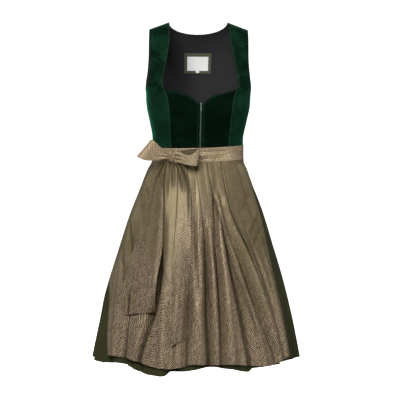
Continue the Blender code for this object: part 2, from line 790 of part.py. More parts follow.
def bow_loop(name, row):
    """A band of cloth that leaves the knot, turns at its tip and comes back in front of itself."""
    shape = {key: BOW_LOOPS[key][row] for key in BOW_LOOPS}
    normal, along = outward(math.radians(KNOT_DEG))
    turn = math.radians(shape["turn_deg"])
    direction = shape["side"] * along * math.cos(turn) + normal * math.sin(turn)
    facing = normal * math.cos(turn) - shape["side"] * along * math.sin(turn)
    run = np.linspace(0, 1, LOOP_GRID[0])[:, None]
    height = np.linspace(0, 1, LOOP_GRID[1])[None, :]
    length = shape["bottom_length"] + (shape["top_length"] - shape["bottom_length"]) * height
    knot_z = shape["knot_bottom"] + (shape["knot_top"] - shape["knot_bottom"]) * height
    tip_z = shape["tip_bottom"] + (shape["tip_top"] - shape["tip_bottom"]) * height
    reach = np.sin(math.pi * run)
    out = shape["bulge"] * np.sin(2 * math.pi * run) * reach + LOOP_APART * np.cos(math.pi * run)
    start = KNOT_SIZE[0] / 2 * (1 - KNOT_PINCH) + SEAM
    up = knot_z + (tip_z - knot_z) * ease(reach * LOOP_SPREAD) / ease(LOOP_SPREAD)
    middle = (
        knot_centre()
        + direction * (start + length * reach)[..., None]
        - facing * (out + 0 * height)[..., None]
        + np.array([0, 0, 1.0]) * up[..., None]
    )
    return free_cloth(name, middle, JACQUARD, "apron_jacquard")


def sash_tail(name, edges):
    """An end of the sash that hangs over the apron, made from the apron's own points, moved out."""
    t = np.linspace(0, 1, TAIL_ROWS)[:, None]
    u = np.linspace(0, 1, COLUMNS["sash_tail"])[None, :]
    end = edges["level"][-1] + TAIL_END_SLANT[name] * (0.5 - u)
    level = edges["level"][0] + (end - edges["level"][0]) * t
    left = column(edges, "left_x", level)
    right = column(edges, "right_x", level)
    angle = angle_at(left + (right - left) * u, level)
    folds = TAIL_FOLDS[name]
    rows = zip(folds["place"], folds["width"], folds["height"])
    own = sum(tall * np.exp(-(((u - place) / width) ** 2)) for place, width, tall in rows)
    lift = apron_lift(angle, level) + JACQUARD + TAIL_GAP + own * ease(t / TAIL_FOLDS_SET_IN)
    return cloth(name, angle, level, lift, JACQUARD, "apron_jacquard")


# ---------------------------------------------------------------- the dress


def clear_scene():
    for old in list(bpy.data.objects):
        bpy.data.objects.remove(old, do_unlink=True)


def build_bodice():
    for name, side in (("right", -1), ("left", 1)):
        front_centre(f"front_centre_{name}", side)
        front_side(f"front_side_{name}", side)
        back_side(f"back_side_{name}", side)
    back_centre("back_centre")
    lining_back("lining_back")
    lining_patch("label_backing", BACKING, 1, "label_backing")
    lining_patch("label_woven", WOVEN_LABEL, 2, "label")
    lining_patch("size_tab", SIZE_TAB, 2, "label")


def build_zip():
    zip_strip("zip_tape", TAPE_WIDTH, ZIP_TOP_LEVEL, -LAYER - LINING, LINING, 5, "zip_tape")
    chain_top = ZIP_TOP_LEVEL + SLIDER["length"] + SEAM
    zip_strip("zip_chain", CHAIN_WIDTH, chain_top, SEAM - LAYER, CHAIN_THICKNESS, 3, "zip_metal")
    zip_slider("zip_slider")
    zip_pull("zip_pull")


def build_skirt():
    skirt_half("skirt_front", 0)
    skirt_half("skirt_back", 180)


def build_apron():
    apron_panel("apron_panel")
    seam_deg = math.degrees(side_gap(BAND_TOP)) * 2
    band("apron_waistband", BAND_LEFT_DEG, BAND_RIGHT_DEG, waistband_lift)
    band("sash_wrap", BAND_RIGHT_DEG + seam_deg, 360 + SASH_END_DEG, sash_lift)
    bow_knot("bow_knot")
    for row, name in enumerate(LOOP_NAMES):
        bow_loop(name, row)
    sash_tail("sash_tail_right", TAIL_RIGHT)
    sash_tail("sash_tail_left", TAIL_LEFT)


clear_scene()
build_bodice()
build_zip()
build_skirt()
build_apron()
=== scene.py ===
"""Looks of the dirndl dress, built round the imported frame.

Metres, +Z up. The front faces -Y and +X is the wearer's left. Every cloth piece is a thin shell on the
form of its CAD solid, found by angle round the body (0 at the front centre) and level (drop below the
shoulders), as there. The creases and the finer pleats are added here.
"""

import math

import bmesh
import bpy
import numpy as np
from mathutils import Matrix, Vector


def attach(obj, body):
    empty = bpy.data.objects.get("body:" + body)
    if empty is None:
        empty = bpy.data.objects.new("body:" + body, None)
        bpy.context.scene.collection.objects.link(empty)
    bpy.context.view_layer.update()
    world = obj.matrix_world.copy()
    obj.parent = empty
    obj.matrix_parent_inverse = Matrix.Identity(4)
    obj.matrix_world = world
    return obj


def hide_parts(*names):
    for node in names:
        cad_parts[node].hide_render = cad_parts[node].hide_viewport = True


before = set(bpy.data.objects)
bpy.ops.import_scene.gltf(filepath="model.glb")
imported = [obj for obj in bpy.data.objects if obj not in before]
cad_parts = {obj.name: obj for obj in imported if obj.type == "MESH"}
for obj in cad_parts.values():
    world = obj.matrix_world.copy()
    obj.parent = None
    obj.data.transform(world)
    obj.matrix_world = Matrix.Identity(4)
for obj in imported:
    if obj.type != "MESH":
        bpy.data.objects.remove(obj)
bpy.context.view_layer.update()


def table(text):
    """Named columns, each an array. The first line has their names, and each other line is a row."""
    names, *rows = text.strip().splitlines()
    return dict(zip(names.split(), np.array([row.split() for row in rows], float).T))


# ---------------------------------------------------------------- sizes, as in the CAD

MM = 0.001
UP = np.array([0, 0, 1.0])

VELVET = 1.8 * MM
COTTON = 1.6 * MM
JACQUARD = 1.5 * MM
LINING = 1.0 * MM
LABEL = 1.0 * MM
SEAM = 0.3 * MM
LAYER = 0.8 * MM
LINING_GAP = 1.8 * MM

WAIST_LEVEL = 0.385
HEM_LEVEL = 1.005
UNDERARM_LEVEL = 0.200
NECK_CORNER_X = 0.087
SHOULDER_SLOPE = 0.37
BACK_NECK_DROP = 0.037
BACK_SEAM_TOP = 0.150
ZIP_SLIT = 6.0 * MM
RIDGE_LEVEL = 1e-6
SIDE_GAP = 1e-5  # half the gap at the side seams, as an angle: the sewn edges meet

BAND_TOP = 0.3690
BAND_BOTTOM = 0.4135
BAND_HEIGHT = BAND_BOTTOM - BAND_TOP
BAND_LIFT = 1.0 * MM
BAND_LEFT_DEG = -58.0
BAND_RIGHT_DEG = 86.0
APRON_HEM = 0.984
APRON_EASE_TOP = 1.2 * MM
APRON_EASE_HEM = 5.0 * MM
SASH_END_DEG = -32.0
SASH_STEP_START_DEG = -72.0
SASH_STEP_DEG = 10.0
FOLDS_AT_WAIST = 0.05
FOLDS_SET_IN = 0.10

# Body form under the cloth. "squareness" is the exponent of its horizontal sections: 2 is an ellipse.
FORM = table("""
level half_width front back squareness
0.000 0.1760 0.000 0.000 2.6
0.050 0.1720 0.064 0.062 2.6
0.100 0.1685 0.090 0.085 2.6
0.150 0.1660 0.110 0.099 2.6
0.175 0.1634 0.119 0.103 2.6
0.200 0.1555 0.1255 0.104 2.6
0.245 0.1525 0.1285 0.102 2.6
0.290 0.1440 0.1190 0.098 2.5
0.340 0.1345 0.1050 0.096 2.4
0.385 0.1325 0.1000 0.098 2.4
0.413 0.1340 0.1015 0.101 2.4
0.440 0.1470 0.1120 0.114 2.3
0.500 0.1700 0.1340 0.139 2.1
0.580 0.2010 0.1600 0.166 2.0
0.660 0.2260 0.1830 0.188 2.0
0.760 0.2570 0.2080 0.210 2.0
0.880 0.2880 0.2350 0.234 2.0
1.020 0.3175 0.2620 0.257 2.0
""")

# Angle of the armhole edge, from the front centre on the front pieces and from the back centre on the
# back pieces.
ARMHOLE = table("""
level front_deg back_deg
0.000 52.0 52.0
0.050 53.5 54.0
0.100 55.0 56.0
0.150 58.5 60.0
0.175 64.5 66.0
0.190 73.0 75.0
0.200 90.0 90.0
""")

# Inner edge of the side front: the strap's neck edge down to the sweetheart corner, then the princess seam.
FRONT_EDGE = table("""
level x
0.000 0.0870
0.045 0.0885
0.080 0.0935
0.120 0.1010
0.155 0.1085
0.175 0.1110
0.187 0.1095
0.196 0.1045
0.224 0.0950
0.282 0.0885
0.385 0.0820
""")
SWEETHEART_CORNER_LEVEL = 0.196
SWEETHEART = table("""
x level
0.000 0.2345
0.010 0.2320
0.022 0.2225
0.036 0.2135
0.056 0.2065
0.084 0.1995
0.105 0.1960
""")

# Curved back seam: angle from the back centre.
BACK_SEAM = table("""
level deg
0.150 60.0
0.200 42.0
0.260 30.0
0.330 25.0
0.385 24.0
""")

# Large folds that skirt and apron share: the cloth stands out at "ridge" and lies "depth" further in at
# "trough".
BROAD_FOLDS = table("""
ridge_deg trough_deg depth
-180 -120 0.004
-90 -72 0.004
-58 -44 0.006
-23 4 0.026
17 23 0.006
40 62 0.006
90 120 0.004
180 240 0.004
""")

# Folds of the skirt alone. A trough close behind its ridge makes a sharp fold edge.
SKIRT_FOLDS = table("""
ridge_deg trough_deg depth
-180 -171 0.022
-163 -156 0.018
-147 -138 0.024
-129 -121 0.020
-113 -105 0.022
-96 -90 0.017
-80 -73 0.020
-66 -58 0.014
-50 -40 0.010
-22 -17.5 0.018
-9 -1 0.008
9 14 0.008
27 30.5 0.014
45 54 0.012
66 74 0.018
83 90 0.018
99 107 0.022
115 124 0.020
132 140 0.024
149 157 0.018
165 173 0.020
180 189 0.022
""")

# Hems: how much lower than its level each hangs, by angle.
HEM_DROP = table("""
angle_deg skirt apron
-180 0.000 0.000
-76 0.002 -0.006
-49 -0.010 -0.008
-36 0.008 0.002
-26 0.016 0.015
-20.5 0.016 0.018
-17.5 0.001 0.017
-12 0.001 0.012
-5 -0.003 0.002
5 -0.013 0.003
15 -0.005 0.004
27 0.006 0.011
30 -0.003 0.013
38 -0.004 0.018
48 -0.005 0.012
60 -0.010 0.000
75 -0.006 0.000
100 0.000 0.000
180 0.000 0.000
""")

# Knife pleats of the apron: the place of each pleat's edge and its height, at the four PLEAT_LEVELS. At
# its edge the cloth jumps out by the height, and it falls back before the next edge.
APRON_PLEATS = table("""
deg_1 deg_2 deg_3 deg_4 height_1 height_2 height_3 height_4
-80 -79 -76 -61 0.0010 0.0020 0.003 0.006
-60 -56 -52 -44 0.0010 0.0015 0.002 0.005
-40 -36 -33 -27 0.0010 0.0015 0.002 0.005
-22 -20 -19 -16 0.0010 0.0015 0.002 0.004
-12 -6 -3 -6 0.0015 0.0030 0.004 0.006
-2.5 2.0 5.3 7 0.0020 0.0050 0.007 0.009
3.5 9.5 13 13 0.0005 0.0030 0.007 0.008
7.3 16.8 24 38 0.0030 0.0100 0.012 0.009
15 22.5 31 46 0.0005 0.0020 0.004 0.007
23.8 28.5 40.5 56 0.0030 0.0060 0.008 0.004
48 50 54 60 0.0010 0.0020 0.002 0.001
""")
PLEAT_LEVELS = (0.4135, 0.560, 0.700, 0.984)
PLEAT_RISE_DEG = 1.6  # over which the edge jumps out
LAST_PLEAT_DEG = 22.0  # width of the last pleat

APRON_EDGES = table("""
level left_deg right_deg
0.413 -88.5 84.0
0.480 -87.5 71.5
0.600 -86.0 64.8
0.750 -85.0 60.0
0.820 -73.0 60.0
0.984 -59.0 60.0
""")

# Bow on the wearer's right, at the viewer's left of the front.
KNOT_DEG = -31.0
KNOT_LEVEL = 0.397
KNOT_SIZE = (0.026, 0.020)  # along the waist, outwards
KNOT_PINCH = 0.14  # share of its width that the knot loses at its middle

# Label group on the back lining: half width and levels.
LABEL_X = 0.004
BACKING = {"half_width": 0.0410, "top": 0.0920, "bottom": 0.1540}
WOVEN_LABEL = {"half_width": 0.0320, "top": 0.1020, "bottom": 0.1455}
SIZE_TAB = {"half_width": 0.0050, "top": 0.1458, "bottom": 0.1520}

TAPE_WIDTH = 24 * MM
ZIP_TOP_LEVEL = 0.2335
ZIP_BOTTOM_LEVEL = 0.383
SLIDER = {"width": 5.4 * MM, "length": 9.0 * MM, "back": -0.6 * MM, "front": 2.8 * MM}
BAIL = {"width": 1.4 * MM, "bar": 1.2 * MM, "window_depth": 2.2 * MM, "window_height": 3.8 * MM}
PULL = {"width": 5.0 * MM, "length": 20.0 * MM, "thickness": 1.2 * MM}
PULL_HOLE = {"width": 2.4 * MM, "length": 5.0 * MM}

# ---------------------------------------------------------------- numbers and surfaces


def smooth(at, knots, values):
    """Monotone cubic through the points (knots, values), level beyond both ends."""
    knots, values = np.asarray(knots), np.asarray(values)
    step = np.diff(knots)
    rise = np.diff(values) / step
    slope = np.zeros(len(values))
    slope[0], slope[-1] = rise[0], rise[-1]
    for i in range(1, len(values) - 1):
        if rise[i - 1] * rise[i] > 0:
            slope[i] = 2 * rise[i - 1] * rise[i] / (rise[i - 1] + rise[i])
    at = np.clip(at, knots[0], knots[-1])
    i = np.clip(np.searchsorted(knots, at, "right") - 1, 0, len(step) - 1)
    t = (at - knots[i]) / step[i]
    start = values[i] * (1 + 2 * t) + slope[i] * step[i] * t
    end = values[i + 1] * (3 - 2 * t) - slope[i + 1] * step[i] * (1 - t)
    return start * (1 - t) ** 2 + end * t**2


def column(source, name, at, by="level"):
    return smooth(at, source[by], source[name])


def row_paths(source, name, levels, at):
    """The path that each row of a table follows down these levels by its name_1, name_2 and on."""
    rows = zip(*(source[f"{name}_{i + 1}"] for i in range(len(levels))))
    return [smooth(at, levels, row) for row in rows]


def ease(t):
    """0 to 1 with flat ends."""
    t = np.clip(t, 0, 1)
    return t * t * (3 - 2 * t)


def bell(aside):
    return np.exp(-(aside**2))


def signed_power(base, exponent):
    return np.sign(base) * np.abs(base) ** exponent


def wrapped(degrees):
    """The same angle from -180 to 180."""
    return (degrees + 180) % 360 - 180


def form_depth(side, level):
    """Depth of the body form at the front or back. What varies smoothly is its square, which rounds the
    shoulder."""
    return np.sqrt(np.maximum(smooth(level, FORM["level"], FORM[side] ** 2), 0))


def form_point(angle, level):
    power = 2 / column(FORM, "squareness", level)
    depth = np.where(np.cos(angle) > 0, form_depth("front", level), form_depth("back", level))
    x = column(FORM, "half_width", level) * signed_power(np.sin(angle), power)
    y = -depth * signed_power(np.cos(angle), power)
    fade = np.clip(1 - level / UNDERARM_LEVEL, 0, 1) ** 2
    z = -level - SHOULDER_SLOPE * fade * np.maximum(np.abs(x) - NECK_CORNER_X, 0)
    return np.stack([x, y, z], axis=-1)


def form_normal(angle, level):
    turn, drop = 1e-3, 1e-4
    round_body = form_point(angle + turn, level) - form_point(angle - turn, level)
    down = form_point(angle, level + drop) - form_point(angle, level)
    across = np.cross(down, round_body)
    return across / np.linalg.norm(across, axis=-1, keepdims=True)


def cloth_point(angle, level, lift):
    """The point of the form at this angle and level, lifted off it."""
    angle, level, lift = np.broadcast_arrays(angle, level, lift)
    return form_point(angle, level) + form_normal(angle, level) * lift[..., None]


def angle_at(x, level):
    """Angle of the form's front at this x."""
    ratio = np.clip(x / column(FORM, "half_width", level), -1, 1)
    return np.arcsin(signed_power(ratio, column(FORM, "squareness", level) / 2))


def below_waist(level):
    """0 at the waist, 1 at the hem."""
    return np.clip((level - BAND_BOTTOM) / (HEM_LEVEL - BAND_BOTTOM), 0, 1)


def fold_depth(folds, angle):
    """How far in the cloth lies at this angle: 0 on each ridge and the row's depth in the trough behind."""
    degrees = wrapped(np.degrees(angle))
    knots = np.stack([folds["ridge_deg"], folds["trough_deg"]], axis=1).ravel()
    depths = np.stack([0 * folds["depth"], folds["depth"]], axis=1).ravel()
    i = np.clip(np.searchsorted(knots, degrees, "right") - 1, 0, len(knots) - 2)
    t = ease((degrees - knots[i]) / (knots[i + 1] - knots[i]))
    return depths[i] * (1 - t) + depths[i + 1] * t


def broad_fold(angle, level):
    return fold_depth(BROAD_FOLDS, angle) * below_waist(level) ** 1.2


def hem_drop(piece, angle, level):
    """The hem's waves, fading upwards."""
    return column(HEM_DROP, piece, wrapped(np.degrees(angle)), by="angle_deg") * below_waist(level) ** 3


def skirt_lift(angle, level):
    t = below_waist(level)
    share = FOLDS_AT_WAIST + (1 - FOLDS_AT_WAIST) * t
    return -broad_fold(angle, level) - fold_depth(SKIRT_FOLDS, angle) * share * ease(t / FOLDS_SET_IN)


def pleat_height(angle, level):
    """Height of the apron's pleats over the cloth below them."""
    degrees = np.degrees(angle)
    edges = row_paths(APRON_PLEATS, "deg", PLEAT_LEVELS, level)
    edges.append(edges[-1] + LAST_PLEAT_DEG)
    height = np.zeros(np.broadcast(angle, level).shape)
    for edge, after, top in zip(edges, edges[1:], row_paths(APRON_PLEATS, "height", PLEAT_LEVELS, level)):
        up = ease((degrees - edge + PLEAT_RISE_DEG) / PLEAT_RISE_DEG)
        fall = 1 - ease((degrees - edge) / (after - PLEAT_RISE_DEG - edge))
        height = height + top * up * fall
    return height


def apron_base(angle, level):
    """Height of the apron's cloth without its pleats."""
    ease_in = APRON_EASE_TOP + (APRON_EASE_HEM - APRON_EASE_TOP) * below_waist(level)
    return -broad_fold(angle, level) + COTTON + ease_in


# ---------------------------------------------------------------- finer form

GATHERS = 104  # small gathers round the whole skirt, just under the waist
GATHER_HEIGHT = 1.3 * MM
GATHER_LENGTH = 0.075  # over which they die out
GATHER_SET_IN = 0.12  # share of that length over which they start

# Each apron pleat, in the order of APRON_PLEATS: the overhang of its fold, in degrees, and how much of its
# height stays sharp at PLEAT_LEVELS. Lower down the folds below take over.
FINE_PLEATS = table("""
overhang share_1 share_2 share_3 share_4
0.0 1.0 1.0 0.5 0.0
0.0 0.8 0.5 0.1 0.0
0.0 0.8 0.5 0.1 0.0
0.0 0.8 0.5 0.1 0.0
0.0 1.0 0.5 0.1 0.0
0.8 1.0 1.0 0.4 0.0
0.6 1.0 0.4 0.1 0.0
1.8 1.3 1.5 0.8 0.0
0.5 1.0 0.3 0.1 0.0
1.4 1.3 1.5 0.8 0.0
0.3 1.0 0.5 0.1 0.0
""")
OVERHANG_LEVELS = (0.4135, 0.440, 0.700, 0.900)
OVERHANG_SHARE = (0.2, 1.0, 0.7, 0.0)
FINE_RISE_DEG = 1.3

# Folds that the skirt, the apron and the tails share, as they hang. Each follows "deg" down these levels,
# with this height at each: above 0 a ridge, below 0 a trough. "wide" is its half width.
FALL_LEVELS = (0.45, 0.55, 0.65, 0.75, 0.85, 0.97)
FALL_FOLDS = table("""
deg_1 deg_2 deg_3 deg_4 deg_5 deg_6 wide high_1 high_2 high_3 high_4 high_5 high_6
-70 -68 -66 -63 -58 -54 0.016 0 0 0.001 0.003 0.006 0.006
-52 -52 -52 -50 -48.5 -46.5 0.007 0 0 0 -0.002 -0.010 -0.014
-44 -44 -43 -42 -40 -39 0.013 0 0 0 0 0.003 0.005
-29 -29 -29 -28.5 -31 -36 0.010 0 0 0 -0.004 -0.018 -0.014
-27 -26 -25 -24 -23 -22 0.013 0 0 0.001 0.003 0.006 0.007
-17 -17 -17 -17 -17 -16 0.008 0 0 0 -0.001 -0.004 -0.006
-9 -9 -9 -8.5 -8.5 -9 0.012 0 0 0 -0.010 -0.018 -0.014
-4 -4.5 -4.2 -3 -2 -2 0.005 0 -0.004 -0.010 -0.005 0 0
-2 -2 -1 -1 -2 -2 0.012 0 0 0.001 0.004 0.006 0.006
2.0 3.0 3.5 3.8 3.3 4.0 0.009 0 0 -0.018 -0.026 -0.022 -0.015
5.0 6.0 7.5 7.8 8.0 8.0 0.010 0 0.002 0.004 0.005 0.006 0.006
13 13 11.4 12 12 11.5 0.008 -0.001 -0.016 -0.022 -0.026 -0.024 -0.016
14 15 15.5 15.8 16.3 16.5 0.011 0 0 0.003 0.005 0.006 0.006
17 18.5 20.5 22.7 25 27 0.010 0 -0.002 -0.014 -0.022 -0.020 -0.011
18 21 24.5 28 32 36 0.011 0 0 0.002 0.004 0.005 0.005
14 20 26.3 31.5 37.8 45 0.011 0 -0.003 -0.014 -0.022 -0.022 -0.014
18 27 33.5 40 45 50 0.015 0 0.003 0.005 0.006 0.006 0.003
28 32 40 47 51 54 0.012 0 -0.001 -0.005 -0.009 -0.009 -0.006
45 50 54 55.5 56 57 0.009 0 0.001 0.003 0.004 0.004 0.003
""")

# Creases. Each runs from one point to another, in degrees and level, as a soft ridge (height above 0) or
# trough (below 0), and bows sideways by "bend" at its middle.
UNDER_TAILS = table("""
deg_1 level_1 deg_2 level_2 width height bend
-30.2 0.500 -31.8 0.900 0.0115 -0.0470 0.0000
""")
APRON_CREASES = table("""
deg_1 level_1 deg_2 level_2 width height bend
-76 0.570 -57 0.655 0.012 0.0035 0.006
-74 0.600 -56 0.690 0.011 -0.0050 0.006
-73 0.645 -55 0.742 0.012 0.0045 0.006
-72 0.690 -57 0.775 0.011 -0.0045 0.006
-74 0.470 -58 0.560 0.012 0.0040 0.004
-66 0.490 -46 0.560 0.010 -0.0040 0.004
34 0.575 60 0.500 0.010 -0.0025 0.003
36 0.625 61 0.555 0.009 0.0025 0.003
42 0.665 60 0.605 0.008 -0.0020 0.002
20 0.560 30 0.480 0.010 0.0020 0.002
-60 0.9470 -30 0.9480 0.0030 -0.0007 0.001
-30 0.9480 10 0.9600 0.0030 -0.0007 0.001
10 0.9600 57 0.9620 0.0030 -0.0007 0.001
""")
SKIRT_CREASES = table("""
deg_1 level_1 deg_2 level_2 width height bend
95 0.450 103 0.720 0.014 0.0040 0.0060
112 0.520 108 0.900 0.016 -0.0040 0.0090
128 0.470 134 0.760 0.012 0.0035 -0.0060
146 0.600 143 0.940 0.016 0.0045 0.0060
160 0.440 166 0.690 0.013 -0.0030 0.0075
-170 0.560 -174 0.880 0.015 0.0045 -0.0060
-156 0.450 -150 0.660 0.012 -0.0035 0.0060
-140 0.500 -137 0.840 0.014 0.0040 0.0045
-122 0.620 -128 0.950 0.017 -0.0045 -0.0060
-108 0.450 -104 0.720 0.012 0.0035 0.0030
-95 0.540 -98 0.900 0.015 0.0040 0.0060
72 0.560 76 0.860 0.012 0.0030 0.0045
""")
CREASE_FADES = (0.3, 0.25)  # shares of its length over which a crease sets in and dies out
# Soft drag lines of the bodice at waist, underarm and shoulder blades.
BODICE_CREASES = table("""
deg_1 level_1 deg_2 level_2 width height bend
-86 0.330 -58 0.352 0.010 -0.0012 0.0060
-88 0.362 -64 0.374 0.008 0.0012 0.0030
64 0.348 88 0.330 0.011 -0.0012 -0.0060
60 0.372 86 0.360 0.008 0.0011 0.0030
-82 0.215 -66 0.262 0.010 -0.0012 0.0090
66 0.262 84 0.212 0.011 -0.0013 0.0090
-66 0.120 -54 0.172 0.008 0.0010 0.0030
54 0.176 66 0.118 0.008 0.0010 0.0030
120 0.250 150 0.268 0.012 -0.0013 0.0090
-152 0.240 -118 0.262 0.012 -0.0013 0.0090
150 0.345 206 0.352 0.010 0.0014 0.0060
160 0.325 202 0.328 0.010 -0.0012 -0.0060
98 0.340 126 0.352 0.009 -0.0012 0.0060
-128 0.352 -100 0.338 0.009 -0.0012 0.0060
""")
BAND_CREASES = table("""
deg_1 level_1 deg_2 level_2 width height bend
-10 0.3835 34 0.3800 0.0016 -0.0014 0.0004
-10 0.3935 34 0.3900 0.0026 0.0010 0.0003
-8 0.4045 26 0.4010 0.0016 -0.0014 0.0
24 0.3925 50 0.3890 0.0026 -0.0006 0.0004
44 0.3800 82 0.3840 0.0022 0.0006 0.0
58 0.4040 84 0.4000 0.0022 -0.0006 0.0
100 0.3840 150 0.3890 0.0024 -0.0009 0.0006
132 0.3980 196 0.4000 0.0026 0.0009 0.0
170 0.3850 236 0.3870 0.0024 -0.0009 0.0006
226 0.4020 286 0.3960 0.0024 0.0010 0.0
262 0.3860 312 0.3880 0.0022 -0.0011 0.0004
290 0.3950 324 0.3945 0.0018 0.0010 0.0
""")


def crease_lift(creases, degrees, level):
    """Height of the soft ridges and troughs at each point."""
    total = 0 * (degrees + level)
    x = np.radians(degrees) * column(FORM, "half_width", level)
    for deg_1, level_1, deg_2, level_2, width, height, bend in zip(*creases.values()):
        ends = np.array([level_1, level_2])
        x_1, x_2 = np.radians([deg_1, deg_2]) * column(FORM, "half_width", ends)
        along = np.array([x_2 - x_1, level_2 - level_1])
        length = np.hypot(*along)
        t = ((x - x_1) * along[0] + (level - level_1) * along[1]) / length**2
        aside = ((x - x_1) * along[1] - (level - level_1) * along[0]) / length
        aside = aside - bend * 4 * t * (1 - t)
        fade = ease(t / CREASE_FADES[0]) * ease((1 - t) / CREASE_FADES[1])
        total = total + height * bell(aside / width) * fade
    return total


def fall_lift(degrees, level):
    """The folds that skirt, apron and tails share."""
    total = 0 * (degrees + level)
    radius = column(FORM, "half_width", level)
    paths = row_paths(FALL_FOLDS, "deg", FALL_LEVELS, level)
    heights = row_paths(FALL_FOLDS, "high", FALL_LEVELS, level)
    for path, high, wide in zip(paths, heights, FALL_FOLDS["wide"]):
        total = total + high * bell(np.radians(degrees - path) * radius / wide)
    return total


def gather_lift(angle, level, start_level):
    """Small gathers that hang from a seam and die out below it, uneven from one to the next."""
    down = np.clip((level - start_level) / GATHER_LENGTH, 0, 1)
    phase = angle * GATHERS / 2 + 0.9 * np.sin(5 * angle) + 0.5 * np.sin(13 * angle)
    uneven = 0.7 + 0.3 * np.sin(17 * angle + 1.0)
    return GATHER_HEIGHT * uneven * np.sin(phase) * ease(down / GATHER_SET_IN) * (1 - down) ** 1.5


WAIST_TILT = 6 * MM
TILT_UP_DEG, TILT_DOWN_DEG = (-40, 55), (95, 155)  # where the tilt's rise starts and ends, and its fall


def waist_rise(degrees):
    """How much higher the waistband sits than level, as it tilts up towards the wearer's left side."""
    up, down = (
        ease((wrapped(degrees) - start) / (end - start)) for start, end in (TILT_UP_DEG, TILT_DOWN_DEG)
    )
    return WAIST_TILT * up * (1 - down)


# ---------------------------------------------------------------- meshes

MESH_SHARP_DEG = 60  # edges that turn more than this are shown sharp, on cloth
PART_SHARP_DEG = 40  # and on small parts


def dense(count, width, edge=4 * MM):
    """Shares from 0 to 1 along a piece of this width: "count" of them from one edge strip to the other, and
    extra ones in the strips."""
    near = np.array([0.0, 0.3, 0.7, 1.3, 2.2]) * MM / width
    inner = np.linspace(edge / width, 1 - edge / width, count)
    return np.concatenate([near, inner, 1 - near[::-1]])


def normals(points):
    """Unit normals of a grid of points."""
    normal = np.cross(np.gradient(points, axis=0), np.gradient(points, axis=1))
    return normal / np.maximum(np.linalg.norm(normal, axis=-1, keepdims=True), 1e-12)


def grid_runs(points):
    """Distance of every grid point along its row from the first column, and down its column."""
    across = np.linalg.norm(np.diff(points, axis=1), axis=2)
    down = np.linalg.norm(np.diff(points, axis=0), axis=2)
    left = np.concatenate([np.zeros((len(points), 1)), np.cumsum(across, axis=1)], axis=1)
    return left, np.concatenate([np.zeros((1, points.shape[1])), np.cumsum(down, axis=0)], axis=0)


def surface_uv(points):
    """Distance along each row from its middle, and down each column, in metres."""
    across, down = grid_runs(points)
    return np.stack([across - across[:, across.shape[1] // 2][:, None], -down], axis=-1)


def edge_roll(points, radius, depth):
    """How far the outer face turns in towards each edge, as cloth does over a seam or a turned edge."""
    left, top = grid_runs(points)
    nearest = np.minimum.reduce([left, left[:, -1:] - left, top, top[-1:] - top])
    inside = np.clip(1 - nearest / radius, 0, 1)
    return depth * (1 - np.sqrt(np.maximum(1 - inside**2, 0)))


def placed(name, data, sharp_deg):
    """An object with this mesh, in the scene."""
    data.shade_smooth()
    data.set_sharp_from_angle(angle=math.radians(sharp_deg))
    made = bpy.data.objects.new(name, data)
    bpy.context.scene.collection.objects.link(made)
    return made


def mesh_object(name, vertices, faces, uv, materials, material_index):
    """An object from arrays: vertices (n, 3), quads (m, 4), uv (n, 2) in metres."""
    data = bpy.data.meshes.new(name)
    data.vertices.add(len(vertices))
    data.vertices.foreach_set("co", np.asarray(vertices, np.float32).ravel())
    data.loops.add(faces.size)
    data.loops.foreach_set("vertex_index", faces.astype(np.int32).ravel())
    data.polygons.add(len(faces))
    data.polygons.foreach_set("loop_start", np.arange(0, faces.size, 4, dtype=np.int32))
    data.update(calc_edges=True)
    layer = data.uv_layers.new(name="cloth")
    layer.data.foreach_set("uv", np.asarray(uv, np.float32)[faces.ravel()].ravel())
    for item in materials:
        data.materials.append(item)
    data.polygons.foreach_set("material_index", material_index.astype(np.int32))
    made = placed(name, data, MESH_SHARP_DEG)
    data.validate()
    return made


def bmesh_object(name, mesh, material):
    data = bpy.data.meshes.new(name)
    mesh.normal_update()
    bmesh.ops.recalc_face_normals(mesh, faces=mesh.faces)
    mesh.to_mesh(data)
    mesh.free()
    data.materials.append(material)
    return placed(name, data, PART_SHARP_DEG)


def join_rings(mesh, rings):
    """Faces between each closed ring of vertices and the next."""
    for first, second in zip(rings, rings[1:]):
        for i in range(len(first)):
            after = (i + 1) % len(first)
            mesh.faces.new((first[i], first[after], second[after], second[i]))


# Painted shade: the deeper a point lies in a fold, the darker its jacquard is painted, through the fold_depth
# attribute.
# A point lies in a fold as far as the cloth this far on either side of it lies further out.
FOLD_SPREAD = 3.5 * MM
FOLD_SHADED = (0.15 * MM, 1.5 * MM)  # depths at which a fold starts to darken, and is at its darkest
FOLD_MOST_ROUNDS = 240


def fold_depths(points, normal):
    """How deep each point lies in a fold that runs down the grid: 0 on the flat and on ridges, up to 1."""
    spacing = np.median(np.linalg.norm(np.diff(points, axis=1), axis=-1))
    smoothed = points
    for _ in range(int(min(FOLD_MOST_ROUNDS, 2 * (FOLD_SPREAD / spacing) ** 2))):
        middle = (smoothed[:, :-2] + 2 * smoothed[:, 1:-1] + smoothed[:, 2:]) / 4
        smoothed = np.concatenate([smoothed[:, :1], middle, smoothed[:, -1:]], axis=1)
    start, full = FOLD_SHADED
    return ease((np.einsum("ijk,ijk->ij", smoothed - points, normal) - start) / (full - start))


